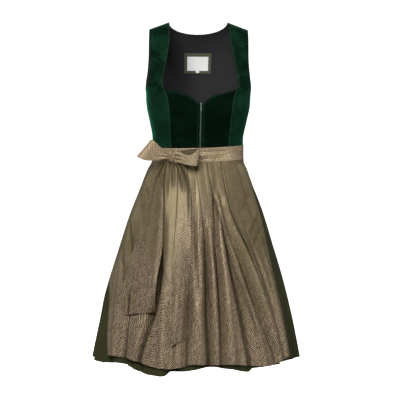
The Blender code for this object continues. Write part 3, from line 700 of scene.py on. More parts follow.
def shell(name, points, thickness, materials, roll=None, facing=1, pleat_shade=0.0):
    """A closed thin shell round a grid of points on its middle surface, with its right side away from the
    body (facing 1) or towards it (-1). "roll" is the radius and depth of the turn at its edges, and the
    last argument is 1 in the sharp folds of pleats, where shade is painted. Each point's depth in a fold,
    or that where more, goes into the fold_depth attribute, which paints shade on the jacquard. A second
    material is for the inner face."""
    rows, columns = points.shape[:2]
    count = rows * columns
    normal = normals(points)
    if (normal[..., :2] * points[..., :2]).sum() * facing < 0:
        normal = -normal
    outer_half = thickness / 2 - (edge_roll(points, *roll) if roll else np.zeros((rows, columns)))
    inner = points - normal * (thickness / 2)
    outer = points + normal * outer_half[..., None]
    index = np.arange(count).reshape(rows, columns)
    corner = (index[:-1, :-1], index[1:, :-1], index[1:, 1:], index[:-1, 1:])
    outside = np.stack(corner, axis=-1).reshape(-1, 4) + count
    inside = np.stack(corner[::-1], axis=-1).reshape(-1, 4)
    rim = np.concatenate([index[0, :-1], index[:-1, -1], index[-1, :0:-1], index[:0:-1, 0]])
    after = np.roll(rim, -1)
    sides = np.stack([rim, after, after + count, rim + count], axis=-1)
    faces = np.concatenate([outside, inside, sides])
    vertices = np.concatenate([inner.reshape(-1, 3), outer.reshape(-1, 3)])
    first, second, third, fourth = vertices[faces].transpose(1, 0, 2)
    if (first * (np.cross(second, third) + np.cross(third, fourth))).sum() < 0:
        faces = faces[:, ::-1]
    uv = surface_uv(points).reshape(-1, 2)
    kind = np.zeros(len(faces))
    if len(materials) > 1:
        kind[len(outside) : len(outside) + len(inside)] = 1
    made = mesh_object(name, vertices, faces, np.concatenate([uv, uv]), materials, kind)
    # Painted shade: each point's fold depth, or the pleat shade where that is more, for the jacquard to
    # darken.
    folds = np.maximum(fold_depths(points, normal), pleat_shade).ravel()
    attribute = made.data.attributes.new("fold_depth", "FLOAT", "POINT")
    attribute.data.foreach_set("value", np.concatenate([np.zeros(count), folds]))
    return made


# A stitch between two tips: a triangle of vertices near each, in shares of its length and half widths.
STITCH = np.array(
    [(-0.5, 0, 0)]
    + [(end, side, up) for end in (-0.3, 0.3) for side, up in ((-1, 0.1), (0, 0.8), (1, 0.1))]
    + [(0.5, 0, 0)]
)
STITCH_FACES = [(0, 1, 2), (0, 2, 3), (0, 3, 1), (1, 4, 5, 2), (2, 5, 6, 3), (3, 6, 4, 1)]
STITCH_FACES += [(4, 7, 5), (5, 7, 6), (6, 7, 4)]


def stitches(name, path, out, material, length=2.6 * MM, pitch=3.6 * MM, width=0.5 * MM):
    """A row of small stitches along a path of points, on the face whose outward directions are "out"."""
    run = np.concatenate([[0], np.cumsum(np.linalg.norm(np.diff(path, axis=0), axis=1))])

    def along_path(values, at):
        return np.stack([np.interp(at, run, values[:, i]) for i in range(3)], axis=-1)

    def unit(vectors):
        return vectors / np.linalg.norm(vectors, axis=1, keepdims=True)

    at = np.arange(pitch / 2, run[-1] - pitch / 2, pitch)
    centre = along_path(path, at)
    along = unit(along_path(path, at + length / 2) - centre)
    side = unit(np.cross(along, along_path(out, at)))
    mesh = bmesh.new()
    for axes, middle in zip(np.stack([along, side, np.cross(side, along)], axis=1), centre):
        points = STITCH * (length, width / 2, width / 2) @ axes + middle
        corners = [mesh.verts.new(point) for point in points]
        for face in STITCH_FACES:
            mesh.faces.new([corners[i] for i in face])
    return bmesh_object(name, mesh, material)


# ---------------------------------------------------------------- materials


def paint(colour, tone=1.0):
    return tuple(min(channel * tone, 1.0) for channel in colour) + (1.0,)


class Surface:
    """A new material. A node's input is given a number, a colour, or another node's output to link."""

    def __init__(self, name):
        self.material = bpy.data.materials.new(name)
        self.material.use_nodes = True
        self.tree = self.material.node_tree
        self.shader = self.tree.nodes["Principled BSDF"]

    def give(self, socket, value):
        if isinstance(value, bpy.types.NodeSocket):
            self.tree.links.new(value, socket)
        else:
            socket.default_value = value

    def node(self, kind, inputs=(), **settings):
        """A node's outputs."""
        made = self.tree.nodes.new("ShaderNode" + kind)
        for key, value in settings.items():
            setattr(made, key, value)
        for key, value in dict(inputs).items():
            self.give(made.inputs[key], value)
        return made.outputs

    def place(self, kind="Object"):
        return self.node("TexCoord")[kind]

    def noise(self, vector, scale, detail=2.0, **more):
        return self.node("TexNoise", {"Vector": vector, "Scale": scale, "Detail": detail, **more})["Fac"]

    def mapped(self, vector, **settings):
        return self.node("Mapping", {"Vector": vector, **settings})[0]

    def maths(self, operation, *values):
        return self.node("Math", enumerate(values), operation=operation)[0]

    def plus(self, *values):
        return self.maths("ADD", *values)

    def times(self, *values):
        return self.maths("MULTIPLY", *values)

    def step(self, value, low, high):
        """0 below low, 1 above high, with a straight run between."""
        return self.node("MapRange", {"Value": value, "From Min": low, "From Max": high})["Result"]

    def mix(self, share, first, second):
        return self.node("Mix", {0: share, 6: first, 7: second}, data_type="RGBA")[2]

    def finish(self, colour, height, bump, distance, **constants):
        """Colour, a bump of this strength and distance, and the shader's own constants."""
        self.give(self.shader.inputs["Base Color"], colour)
        bumps = self.node("Bump", {"Height": height, "Strength": bump, "Distance": distance})
        self.give(self.shader.inputs["Normal"], bumps["Normal"])
        for key, value in constants.items():
            self.shader.inputs[key.replace("_", " ")].default_value = value
        return self.material


VELVET_SHADES = {
    "dark": (0.0011, 0.0052, 0.0023),
    "light": (0.0022, 0.0118, 0.0054),
    "tips": (0.0038, 0.0210, 0.0102),
    "brushed": (0.0062, 0.0350, 0.0175),
}
VELVET_CLOUDS, VELVET_MARKS, VELVET_PILE = 13.0, 24.0, 800.0  # how fine each noise is
VELVET_STRAP_Z = (-0.170, -0.200)  # between them the straps' painted shade turns into the lighter colour painted below


def velvet_material(name, sheen, brightness, marked=0.7):
    """Cotton velvet: nearly black green face on, with a green sheen where the pile is seen from the side.
    The straps are painted darker than the bodice below them: painted shade. "marked" is how plain the brushed
    marks are."""
    made = Surface(name)
    dark, light, tips, brushed = (paint(shade, brightness) for shade in VELVET_SHADES.values())
    place = made.place()
    cloud = made.noise(place, VELVET_CLOUDS, 3.0, Distortion=0.6)
    pile = made.noise(place, VELVET_PILE)
    height = made.node("SeparateXYZ", {"Vector": place})["Z"]
    # Painted shade: darker on the straps above VELVET_STRAP_Z, turning lighter below it.
    low = made.step(made.plus(height, made.times(cloud, 0.05)), *VELVET_STRAP_Z)
    base = made.mix(made.step(cloud, 0.40, 0.58), dark, light)
    base = made.mix(made.times(low, 0.75), base, tips)
    marks = made.noise(place, VELVET_MARKS, 3.0, Distortion=0.7)
    base = made.mix(made.times(made.step(marks, 0.46, 0.68), marked), base, brushed)
    colour = made.mix(made.times(made.step(pile, 0.40, 0.75), 0.6), base, tips)
    bumps = made.plus(pile, made.times(cloud, 0.8))
    bumps = made.plus(bumps, made.times(marks, 4.0 * marked))
    shine = {"Sheen_Weight": sheen, "Sheen_Roughness": 0.33, "Sheen_Tint": paint((0.06, 0.42, 0.22))}
    return made.finish(colour, bumps, 0.5, 0.4 * MM, Roughness=0.85, Specular_IOR_Level=0.02, **shine)


def plain_weave(name, dark, light, thread=0.45 * MM, bump=0.35, sheen=0.0):
    """A plain woven cloth: threads this far apart both ways, and a little colour variation."""
    made = Surface(name)
    turned = made.mapped(made.place("UV"), Scale=(1 / thread,) * 3)
    split = made.node("SeparateXYZ", {"Vector": turned})
    warp, weft = (
        made.maths("ABSOLUTE", made.maths("SINE", made.times(split[axis], math.pi))) for axis in ("X", "Y")
    )
    threads = made.times(warp, weft)
    cloud = made.noise(made.place(), 9.0, 4.0)
    mixed = made.plus(made.times(cloud, 0.7), made.times(threads, 0.3))
    colour = made.mix(made.step(mixed, 0.30, 0.75), paint(dark), paint(light))
    shine = {"Sheen_Weight": sheen, "Sheen_Roughness": 0.5}
    return made.finish(colour, threads, bump, 0.15 * MM, Roughness=0.85, Specular_IOR_Level=0.25, **shine)


MOTIF = 5.4 * MM  # repeat of the jacquard's small diamonds
MOTIF_UNEVEN = 0.32
SATIN_THREADS = (900.0, 240.0, 1.0)  # how fine the slubs are across and along
# The painted olive sheen reaches this much lower between these distances from the middle of the dress, where
# the darker side olive is painted shade.
OLIVE_SIDES, OLIVE_LOWER, OLIVE_UNEVEN = (0.045, 0.130), 0.27, 0.40
OLIVE_FADE = 0.20
# Painted shade: how far the bottoms of folds are painted towards the fold colour.
FOLD_SHADE = 0.8
JACQUARD_SHADES = {
    "olive": (0.250, 0.199, 0.103),
    "olive_painted_shade": (0.172, 0.139, 0.063),
    "rose": (0.300, 0.224, 0.134),
    "dot": (0.80, 0.62, 0.45),
    "diamond": (0.026, 0.016, 0.006),
    "slub": (0.36, 0.27, 0.17),
    # painted shade at the bottoms of folds
    "fold": (0.036, 0.027, 0.014),
}


def jacquard_material(name, tone, olive_above=None, speckle=1.0):
    """Satin jacquard: a common all-over repeat of small diamonds with a dot in each. Without a height, olive
    satin and rose weft threads take turns over the cloth at random, and the diamonds stand out where the
    rose ones lie on top. Given a height, olive is painted sheen above it, reaching further down towards the
    sides, where a darker olive is painted shade. The bottoms of deep folds, and the folds beside the
    pleats' edges, are painted dark: painted shade. "speckle" is how strongly the diamonds and dots show."""
    made = Surface(name)
    shade = {key: paint(colour, tone) for key, colour in JACQUARD_SHADES.items()}
    place, solid = made.place("UV"), made.place()
    turned = made.mapped(place, Rotation=(0, 0, math.pi / 4), Scale=(1 / MOTIF,) * 3)
    motif = {"Scale": 1.0, "Randomness": MOTIF_UNEVEN}
    diamonds = made.node("TexVoronoi", {"Vector": turned, **motif}, feature="F1")
    shifted = made.mapped(turned, Location=(0.5, 0.5, 0.0))
    dots = made.node("TexVoronoi", {"Vector": shifted, **motif}, feature="F1")
    slubs = made.noise(made.mapped(place, Scale=SATIN_THREADS), 1.0, Roughness=0.6)
    cloud = made.noise(solid, 7.0, 3.0)
    split = made.node("SeparateColor", {"Color": diamonds["Color"]})
    olive = shade["olive"]
    if olive_above is None:
        rosy = made.step(cloud, 0.28, 0.46)
    else:
        # Painted sheen and shade: olive above the given height, lower and darker towards the sides.
        at = made.node("SeparateXYZ", {"Vector": solid})
        beside = made.step(made.maths("ABSOLUTE", at["X"]), *OLIVE_SIDES)
        olive = made.mix(beside, olive, shade["olive_painted_shade"])
        height = made.plus(at["Z"], made.times(beside, OLIVE_LOWER))
        uneven = made.times(cloud, -OLIVE_UNEVEN)
        rosy = made.step(made.plus(height, uneven), olive_above, olive_above - OLIVE_FADE)
    colour = made.mix(rosy, olive, shade["rose"])
    strength = made.plus(made.times(rosy, 0.72 * speckle), 0.20 * speckle)
    centre = made.step(dots["Distance"], 0.40, 0.28)
    shine = made.times(made.times(centre, made.step(split["Red"], 0.10, 0.45)), strength)
    colour = made.mix(shine, colour, shade["dot"])
    patch = made.times(made.step(diamonds["Distance"], 0.44, 0.34), made.step(split["Green"], 0.02, 0.35))
    colour = made.mix(made.times(patch, strength), colour, shade["diamond"])
    colour = made.mix(made.times(slubs, 0.14), colour, shade["slub"])
    # Painted shade: the colour turns towards the fold colour where the fold_depth attribute is high.
    fold = made.node("Attribute", attribute_name="fold_depth")["Fac"]
    colour = made.mix(made.times(fold, FOLD_SHADE), colour, shade["fold"])
    height = made.plus(made.times(centre, 0.3), made.times(slubs, 0.8))
    shine = {"Metallic": 0.28, "Specular_Tint": paint((1.0, 0.88, 0.68))}
    return made.finish(colour, height, 0.25, 0.12 * MM, Roughness=0.42, Specular_IOR_Level=0.22, **shine)


def metal_material():
    """Enamel worn to the metal in places."""
    made = Surface("zip_enamel")
    wear = made.noise(made.place(), 900.0, 3.0)
    colour = made.mix(made.step(wear, 0.40, 0.70), paint((0.13, 0.26, 0.20)), paint((0.34, 0.45, 0.38)))
    return made.finish(colour, wear, 0.10, 0.05 * MM, Roughness=0.34, Metallic=0.65)


def thread_material(name, colour):
    made = Surface(name)
    twist = made.noise(made.place(), 2500.0)
    mixed = made.mix(twist, paint(colour, 0.7), paint(colour))
    return made.finish(mixed, twist, 0.3, 0.1 * MM, Roughness=0.7)


def stage_material():
    made = Surface("white_stage")
    grain = made.noise(made.place(), 0.5)
    colour = made.mix(grain, paint((0.90,) * 3), paint((0.93,) * 3))
    glow = {"Emission_Color": paint((1, 1, 1)), "Emission_Strength": 1.2}
    return made.finish(colour, grain, 0.0, 1 * MM, Roughness=0.95, **glow)


# Three lit and shaded copies of one velvet: painted shade darkens the front centre panels most, painted light
# brightens the side panels, and the back centre lies between.
VELVET_SHADED = velvet_material("velvet_shaded_copy", 0.09, 0.36)
VELVET_LIT = velvet_material("velvet_lit_copy", 0.65, 1.26)
VELVET_BACK = velvet_material("velvet_back", 0.42, 0.9, 0.25)
LINING_CLOTH = plain_weave("lining_cloth", (0.019, 0.019, 0.021), (0.028, 0.027, 0.030), sheen=0.03)
SKIRT_CLOTH = plain_weave("skirt_cloth", (0.033, 0.034, 0.0110), (0.052, 0.051, 0.0175), sheen=0.01)
# Every piece has the same jacquard at its own tone, as lit and shaded copies: painted light on the waistband
# and bow loops, painted shade on the tails.
JACQUARD_CLOTH = jacquard_material("jacquard", 0.82, -0.60)
TAIL_CLOTHS = {
    "sash_tail_right": jacquard_material("jacquard_tail_right", 0.69, -0.46),
    "sash_tail_left": jacquard_material("jacquard_tail_left", 0.62, -0.60),
}
BAND_CLOTH = jacquard_material("jacquard_band", 1.30, None, 0.8)
BOW_CLOTHS = {
    "bow_loop_right": jacquard_material("jacquard_bow_right", 1.24, None, 0.45),
    "bow_loop_left": jacquard_material("jacquard_bow_left", 1.50, None, 0.60),
}
KNOT_CLOTH = jacquard_material("jacquard_knot", 0.98, None, 0.5)
LOOP_REVERSE = jacquard_material("jacquard_reverse", 0.46, None, 0.6)
BACKING_CLOTH = plain_weave("backing_cloth", (0.085, 0.088, 0.056), (0.112, 0.114, 0.076), 0.6 * MM)
LABEL_CLOTH = plain_weave("label_cloth", (0.95, 0.95, 0.94), (0.99, 0.99, 0.98), 0.35 * MM, 0.2)
TAPE_CLOTH = plain_weave("tape_cloth", (0.006, 0.026, 0.016), (0.012, 0.042, 0.027), 0.8 * MM)
ZIP_METAL = metal_material()
GREEN_THREAD = thread_material("green_thread", (0.022, 0.105, 0.064))
GREY_THREAD = thread_material("grey_thread", (0.070, 0.085, 0.060))
OLIVE_THREAD = thread_material("olive_thread", (0.05, 0.055, 0.03))
WHITE_THREAD = thread_material("white_thread", (0.70, 0.70, 0.68))
STAGE_PAINT = stage_material()


def dress_piece(piece, node):
    """Rides on the dress and stands for its CAD node, which it hides."""
    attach(piece, "dress")
    if node:
        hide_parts(node)
    return piece


# ---------------------------------------------------------------- bodice

SEAM_ROLL = (1.6 * MM, 1.1 * MM)
VELVET_FINE = 1.6 * MM
LINING_FINE = 0.8 * MM
LABEL_FINE = 0.6 * MM
LABEL_ROLL = (0.8 * MM, 0.4 * MM)
SEAM_STITCH = (3.0 * MM, 3.4 * MM, 0.7 * MM)  # length, pitch and width
LABEL_STITCH = (1.8 * MM, 2.6 * MM, 0.4 * MM)
SHOULDER_GAP = 0.3 * MM  # of each piece from the middle of the shoulder ridge

# Rows down a strap, as shares of its length, closer together near the ridge.
STRAP_SHARES = np.array(
    [0, 0.008, 0.02, 0.04, 0.07, 0.11, 0.16, 0.22, 0.28, 0.35, 0.42]
    + [0.49, 0.56, 0.63, 0.70, 0.76, 0.81, 0.86, 0.90, 0.94, 0.97]
)


def bodice_points(angle, level, lift=VELVET / 2):
    """Points of the velvet. At the shoulder ridge, fronts and backs meet."""
    points = cloth_point(angle, level, lift + crease_lift(BODICE_CREASES, np.degrees(angle), level))
    ridge = level <= 2 * RIDGE_LEVEL
    past = np.where(np.cos(angle) > 0, SHOULDER_GAP, -SHOULDER_GAP)
    points[..., 1] = np.where(ridge, past, points[..., 1])
    return points


def front_side(side):
    u = dense(34, 0.085)[None, :]
    corner = SWEETHEART_CORNER_LEVEL * (1 - u) + UNDERARM_LEVEL * u
    body = dense(44, WAIST_LEVEL - UNDERARM_LEVEL)[:, None]
    level = np.concatenate([STRAP_SHARES[:, None] * corner, corner + (WAIST_LEVEL - corner) * body])
    level = np.maximum(level, RIDGE_LEVEL)
    inner = angle_at(column(FRONT_EDGE, "x", level) + SEAM / 2, level)
    outer = np.radians(column(ARMHOLE, "front_deg", level)) - SIDE_GAP
    return side * (inner + (outer - inner) * u), level


def front_centre(side):
    u = dense(40, 0.095)[None, :]
    start = ZIP_SLIT / 2
    edge_x = column(FRONT_EDGE, "x", SWEETHEART_CORNER_LEVEL)
    top = column(SWEETHEART, "level", start + (edge_x - start) * u, by="x")
    level = top + (WAIST_LEVEL - top) * dense(46, 0.17)[:, None]
    seam_x = column(FRONT_EDGE, "x", level) - SEAM / 2
    return side * angle_at(start + (seam_x - start) * u, level), level


def back_grid(edge_angle):
    """Angles and levels of a back piece, mirrored about the back centre."""
    shoulder = column(FORM, "half_width", 0)
    power = column(FORM, "squareness", 0) / 2
    corner = math.asin((NECK_CORNER_X / shoulder) ** power) / edge_angle(0)
    neck = corner * np.sin(np.linspace(-math.pi / 2, math.pi / 2, 61))
    strap = corner + (1 - corner) * dense(16, 0.075)[1:]
    u = np.concatenate([-strap[::-1], neck, strap])[None, :]
    top_x = shoulder * signed_power(np.sin(u * edge_angle(0)), 1 / power)
    inside = np.clip(1 - (top_x / NECK_CORNER_X) ** 2, 0, 1)
    top = np.maximum(BACK_NECK_DROP * np.sqrt(inside), RIDGE_LEVEL)
    upper = BACK_SEAM_TOP * STRAP_SHARES[:-1, None]
    lower = BACK_SEAM_TOP + (WAIST_LEVEL - BACK_SEAM_TOP) * dense(48, 0.235)[:, None]
    level = top + (WAIST_LEVEL - top) * np.concatenate([upper, lower]) / WAIST_LEVEL
    level = np.maximum(level, RIDGE_LEVEL)
    return math.pi - u * edge_angle(level), level


def armhole_back(level):
    return np.radians(column(ARMHOLE, "back_deg", level)) - SIDE_GAP


def back_seam(level):
    above = np.radians(column(ARMHOLE, "back_deg", level))
    return np.where(level < BACK_SEAM_TOP, above, np.radians(column(BACK_SEAM, "deg", level)))


def seam_gap_angle(level):
    return SEAM / 2 / form_depth("back", np.maximum(level, 0.05))


def back_centre():
    return back_grid(lambda level: back_seam(level) - seam_gap_angle(level))


def back_side(side):
    levels = np.linspace(BACK_SEAM_TOP, UNDERARM_LEVEL, 200)
    seam = back_seam(levels)
    end = math.pi / 2 - SIDE_GAP
    reach = (armhole_back(levels) - seam) / (end - seam)
    u = dense(34, 0.080)[None, :]
    top = np.interp(u, np.maximum.accumulate(reach), levels)
    level = top + (WAIST_LEVEL - top) * dense(46, 0.200)[:, None]
    start = back_seam(level) + seam_gap_angle(level)
    return math.pi - side * (start + (end - start) * u), level


def velvet_piece(node, grid, cloth):
    """One velvet piece with the lining's colour inside, from its grid of angles and levels."""
    made = shell(f"velvet_{node}", bodice_points(*grid), VELVET_FINE, [cloth, LINING_CLOTH], SEAM_ROLL)
    dress_piece(made, node)


STITCH_IN = {"strap": 2.4 * MM, "princess": 2.2 * MM, "neckline": 2.6 * MM, "zip": 5.4 * MM}
STITCH_STOP = 16 * MM  # above the waist seam


def seam_rows(side, name):
    """Rows of stitches on one side of the front: along the strap, princess seam, neckline and zip."""
    strap = np.linspace(12 * MM, SWEETHEART_CORNER_LEVEL - 4 * MM, 60)
    princess = np.linspace(SWEETHEART_CORNER_LEVEL + 3 * MM, WAIST_LEVEL - STITCH_STOP, 60)
    neck_end = column(FRONT_EDGE, "x", SWEETHEART_CORNER_LEVEL) - 3 * MM
    neck_x = np.linspace(ZIP_SLIT / 2 + 3 * MM, neck_end, 60)
    neckline = column(SWEETHEART, "level", neck_x, by="x")
    beside_zip = np.linspace(ZIP_TOP_LEVEL + 3 * MM, WAIST_LEVEL - STITCH_STOP, 60)
    rows = {
        "strap": (column(FRONT_EDGE, "x", strap) + STITCH_IN["strap"], strap, GREY_THREAD),
        "princess": (column(FRONT_EDGE, "x", princess) + STITCH_IN["princess"], princess, GREEN_THREAD),
        "neckline": (neck_x, neckline + STITCH_IN["neckline"], GREEN_THREAD),
        "zip": (ZIP_SLIT / 2 + STITCH_IN["zip"] + 0 * beside_zip, beside_zip, GREEN_THREAD),
    }
    for kind, (x, level, thread) in rows.items():
        angle = side * angle_at(x, level)
        path, out = bodice_points(angle, level, VELVET), form_normal(angle, level)
        row = stitches(f"stitches_{kind}_{name}", path, out, thread, *SEAM_STITCH)
        dress_piece(row, None)


LINING_INSET = math.radians(2.0)  # from the armhole's edge
LINING_DROP = 1.6 * MM  # below the shoulder ridge
LINING_DROP_FADE = 12 * MM
LINING_BEHIND = 0.5 * MM  # least distance behind the ridge


def lining_back():
    angle, level = back_grid(lambda level: armhole_back(level) - LINING_INSET)
    points = cloth_point(angle, level, -LINING_GAP - LINING / 2)
    points[..., 1] = np.maximum(points[..., 1], LINING_BEHIND)
    points[..., 2] -= LINING_DROP * (1 - ease(level / LINING_DROP_FADE))
    return shell("lining", points, LINING_FINE, [LINING_CLOTH])


def label_lift(layer):
    """Lift of the face towards the wearer of the label group's piece on this layer."""
    return -(LINING_GAP + LINING) - layer * (LABEL + LAYER)


def lining_patch(name, place, layer, thickness, material):
    """A rectangle on the back lining, "layer" pieces further in than the lining."""
    width, height = 2 * place["half_width"], place["bottom"] - place["top"]
    level = (place["top"] + height * dense(18, height, 0.003))[:, None]
    x = (LABEL_X + place["half_width"] * (2 * dense(24, width, 0.003) - 1))[None, :]
    points = cloth_point(math.pi - angle_at(x, level), level, label_lift(layer) + LABEL / 2)
    return shell(name, points, thickness, [material], LABEL_ROLL, facing=-1)


def patch_stitches(name, place, inset, lift, material, *sizes):
    """A line of stitches just inside a patch's edge."""
    half, top, bottom = place["half_width"] - inset, place["top"] + inset, place["bottom"] - inset
    ends = ((-half, top), (half, top), (half, bottom), (-half, bottom), (-half, top))
    parts = [np.linspace(start, end, n) for start, end, n in zip(ends, ends[1:], (30, 20, 30, 20))]
    x, level = np.concatenate(parts).T
    angle = math.pi - angle_at(LABEL_X + x, level)
    path = cloth_point(angle, level, lift)
    return stitches(name, path, -form_normal(angle, level), material, *sizes)


def make_bodice():
    for name, side in (("right", -1), ("left", 1)):
        velvet_piece(f"front_centre_{name}", front_centre(side), VELVET_SHADED)
        velvet_piece(f"front_side_{name}", front_side(side), VELVET_LIT)
        seam_rows(side, name)
        velvet_piece(f"back_side_{name}", back_side(side), VELVET_LIT)
    velvet_piece("back_centre", back_centre(), VELVET_BACK)
    dress_piece(lining_back(), "lining_back")
    backing = lining_patch("label_patch", BACKING, 1, LINING_FINE, BACKING_CLOTH)
    dress_piece(backing, "label_backing")
    woven = lining_patch("label_blank", WOVEN_LABEL, 2, LABEL_FINE, LABEL_CLOTH)
    dress_piece(woven, "label_woven")
    tab = lining_patch("label_size_tab", SIZE_TAB, 2, LABEL_FINE, LABEL_CLOTH)
    dress_piece(tab, "size_tab")
    sewn = patch_stitches("label_patch_stitches", BACKING, 2.5 * MM, label_lift(1) + 0.1 * MM, OLIVE_THREAD)
    dress_piece(sewn, None)
    at = (1.5 * MM, label_lift(2) + 0.2 * MM)
    sewn = patch_stitches("label_blank_stitches", WOVEN_LABEL, *at, WHITE_THREAD, *LABEL_STITCH)
    dress_piece(sewn, None)


# ---------------------------------------------------------------- zip

TOOTH = {"reach": 2.1 * MM, "root": 0.3 * MM, "tall": 0.95 * MM, "deep": 1.5 * MM, "pitch": 1.25 * MM}
TOOTH_ROUND, SLIDER_ROUND, PULL_ROUND = 0.22 * MM, 0.8 * MM, 0.25 * MM
SLIDER_THINNER = 0.2 * MM  # than its solid
SLIDER_WAIST = 0.72  # share of its width that the slider keeps at its lower end
BAIL_SINK = 0.3 * MM  # of the bail's feet in the slider
BAIL_POWER = 0.8  # 1 would make the bail half an ellipse
PULL_POINTS = 48
PULL_TAPER = 0.16  # share of its width that the tab loses at its lower end
SLOT_POWER = 0.5  # 1 would make the tab's slot an ellipse


def slider_place():
    """Y of the slider's front face, and Z of its middle."""
    middle = ZIP_TOP_LEVEL + SLIDER["length"] / 2
    return -form_depth("front", middle) - SLIDER["front"], -middle


def zip_tape():
    level = np.linspace(ZIP_TOP_LEVEL, ZIP_BOTTOM_LEVEL, 70)[:, None]
    x = TAPE_WIDTH / 2 * np.linspace(-1, 1, 25)[None, :]
    points = cloth_point(angle_at(x, level), level, -LAYER - LINING / 2)
    return shell("zip_woven_tape", points, LINING_FINE, [TAPE_CLOTH])


def zip_teeth():
    """Two rows of teeth that close on each other down the middle of the tape."""
    top = ZIP_TOP_LEVEL + SLIDER["length"] + TOOTH["tall"]
    level = np.arange(top, ZIP_BOTTOM_LEVEL - TOOTH["tall"], TOOTH["pitch"])
    centre = cloth_point(0 * level, level, SEAM - LAYER + TOOTH["deep"] / 2)
    size = Matrix.Diagonal((TOOTH["reach"] + TOOTH["root"], TOOTH["deep"], TOOTH["tall"], 1))
    mesh = bmesh.new()
    for i, (place, out) in enumerate(zip(centre, form_normal(0 * level, level))):
        side = 1 if i % 2 else -1
        aside = Vector((side * (TOOTH["reach"] - TOOTH["root"]) / 2, 0, 0))
        turn = Matrix(((1, 0, 0), out, np.cross([1, 0, 0], out))).transposed().to_4x4()
        bmesh.ops.create_cube(mesh, size=1, matrix=Matrix.Translation(Vector(place) + aside) @ turn @ size)
    bmesh.ops.bevel(mesh, geom=mesh.edges[:], offset=TOOTH_ROUND, segments=1, affect="EDGES")
    return bmesh_object("zip_teeth", mesh, ZIP_METAL)


def zip_slider():
    """Rounded wedge body with a bail over its middle."""
    face, middle = slider_place()
    thick = SLIDER["front"] - SLIDER["back"] - SLIDER_THINNER
    mesh = bmesh.new()
    spot = Matrix.Translation((0, face + thick / 2, middle))
    size = Matrix.Diagonal((SLIDER["width"], thick, SLIDER["length"], 1))
    for vertex in bmesh.ops.create_cube(mesh, size=1, matrix=spot @ size)["verts"]:
        if vertex.co.z < middle:
            vertex.co.x *= SLIDER_WAIST
    bmesh.ops.bevel(mesh, geom=mesh.edges[:], offset=SLIDER_ROUND, segments=4, profile=0.6, affect="EDGES")
    half, bar = BAIL["width"] / 2, BAIL["bar"]
    reach = BAIL["window_height"] / 2 + bar / 2
    depth = BAIL["window_depth"] + bar / 2
    rings = []
    for turn in np.linspace(0, math.pi, 17):
        out = Vector((0, -math.sin(turn), math.cos(turn)))
        bulge = math.sin(turn) ** BAIL_POWER
        centre = Vector((0, face - depth * bulge + BAIL_SINK * (1 - bulge), middle + reach * out.z))
        ring = []
        for a in np.linspace(0, 2 * math.pi, 8, endpoint=False):
            aside = Vector((half * math.cos(a), 0, 0))
            ring.append(mesh.verts.new(centre + out * (bar / 2 * 0.9 * math.sin(a)) + aside))
        rings.append(ring)
    join_rings(mesh, rings)
    mesh.faces.new(rings[0])
    mesh.faces.new(rings[-1][::-1])
    return bmesh_object("zip_slider_body", mesh, ZIP_METAL)


def zip_pull():
    """Flat tab with round ends and a slot for the bail: a ring of points round the slot, joined to the
    outline on both faces."""
    face, axis_z = slider_place()
    axis_y = face - BAIL["window_depth"] / 2
    half = PULL["thickness"] / 2
    middle, length = (half - PULL["length"]) / 2, (half + PULL["length"]) / 2
    hole_half = PULL_HOLE["length"] / 2
    outline, hole = [], []
    for a in np.linspace(0, 2 * math.pi, PULL_POINTS, endpoint=False):
        x, z = math.sin(a), math.cos(a)
        squared = (abs(x) ** 4 + abs(z) ** 10) ** -0.14
        taper = 1.0 - PULL_TAPER * (1 - (z + 1) / 2)
        wide, tall = np.clip((x * squared, z * squared), -1, 1)
        outline.append((PULL["width"] / 2 * taper * wide, middle + length * tall))
        wide, tall = signed_power(x, SLOT_POWER), signed_power(z, SLOT_POWER)
        hole.append((PULL_HOLE["width"] / 2 * wide, hole_half * tall - half - hole_half))
    mesh = bmesh.new()
    front, front_hole, back, back_hole = (
        [mesh.verts.new((x, axis_y + y, axis_z + z)) for x, z in shape]
        for y in (-half, half)
        for shape in (outline, hole)
    )
    join_rings(mesh, [front_hole, front, back, back_hole, front_hole])
    made = bmesh_object("zip_pull_tab", mesh, ZIP_METAL)
    soften = made.modifiers.new("soften", "BEVEL")
    soften.width = PULL_ROUND
    soften.segments = 2
    soften.angle_limit = math.radians(50)
    return made


def make_zip():
    dress_piece(zip_tape(), "zip_tape")
    dress_piece(zip_teeth(), "zip_chain")
    dress_piece(zip_slider(), "zip_slider")
    pull = zip_pull()
    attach(pull, "pull_tab")
    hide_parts("zip_pull")


# ---------------------------------------------------------------- skirt and apron

SKIRT_FINE = 1.2 * MM
GATHERS_START = BAND_BOTTOM + 1 * MM
APRON_COVERS_DEG, COVER_FADE_DEG = (-96, 92), 10


def skirt_half(name, centre_deg, columns, rows, shared):
    """The front or back of the skirt. "shared" says whether it has the folds that the apron has too."""
    top = WAIST_LEVEL + SEAM
    level = (top + (HEM_LEVEL - top) * np.linspace(0, 1, rows) ** 1.15)[:, None]
    u = np.linspace(-1, 1, columns)[None, :]
    angle = math.radians(centre_deg) + u * (math.pi / 2 - SIDE_GAP)
    level = level + hem_drop("skirt", angle, level)
    degrees = wrapped(np.degrees(angle))
    start, end = APRON_COVERS_DEG
    bare = 1 - ease((degrees - start) / COVER_FADE_DEG) * ease((end - degrees) / COVER_FADE_DEG)
    lift = skirt_lift(angle, level) + COTTON / 2
    lift = lift + crease_lift(SKIRT_CREASES, degrees, level) + bare * gather_lift(angle, level, GATHERS_START)
    lift = lift + crease_lift(UNDER_TAILS, degrees, level)
    if shared:
        lift = lift + fall_lift(degrees, level)
    return shell(name, cloth_point(angle, level, lift), SKIRT_FINE, [SKIRT_CLOTH])


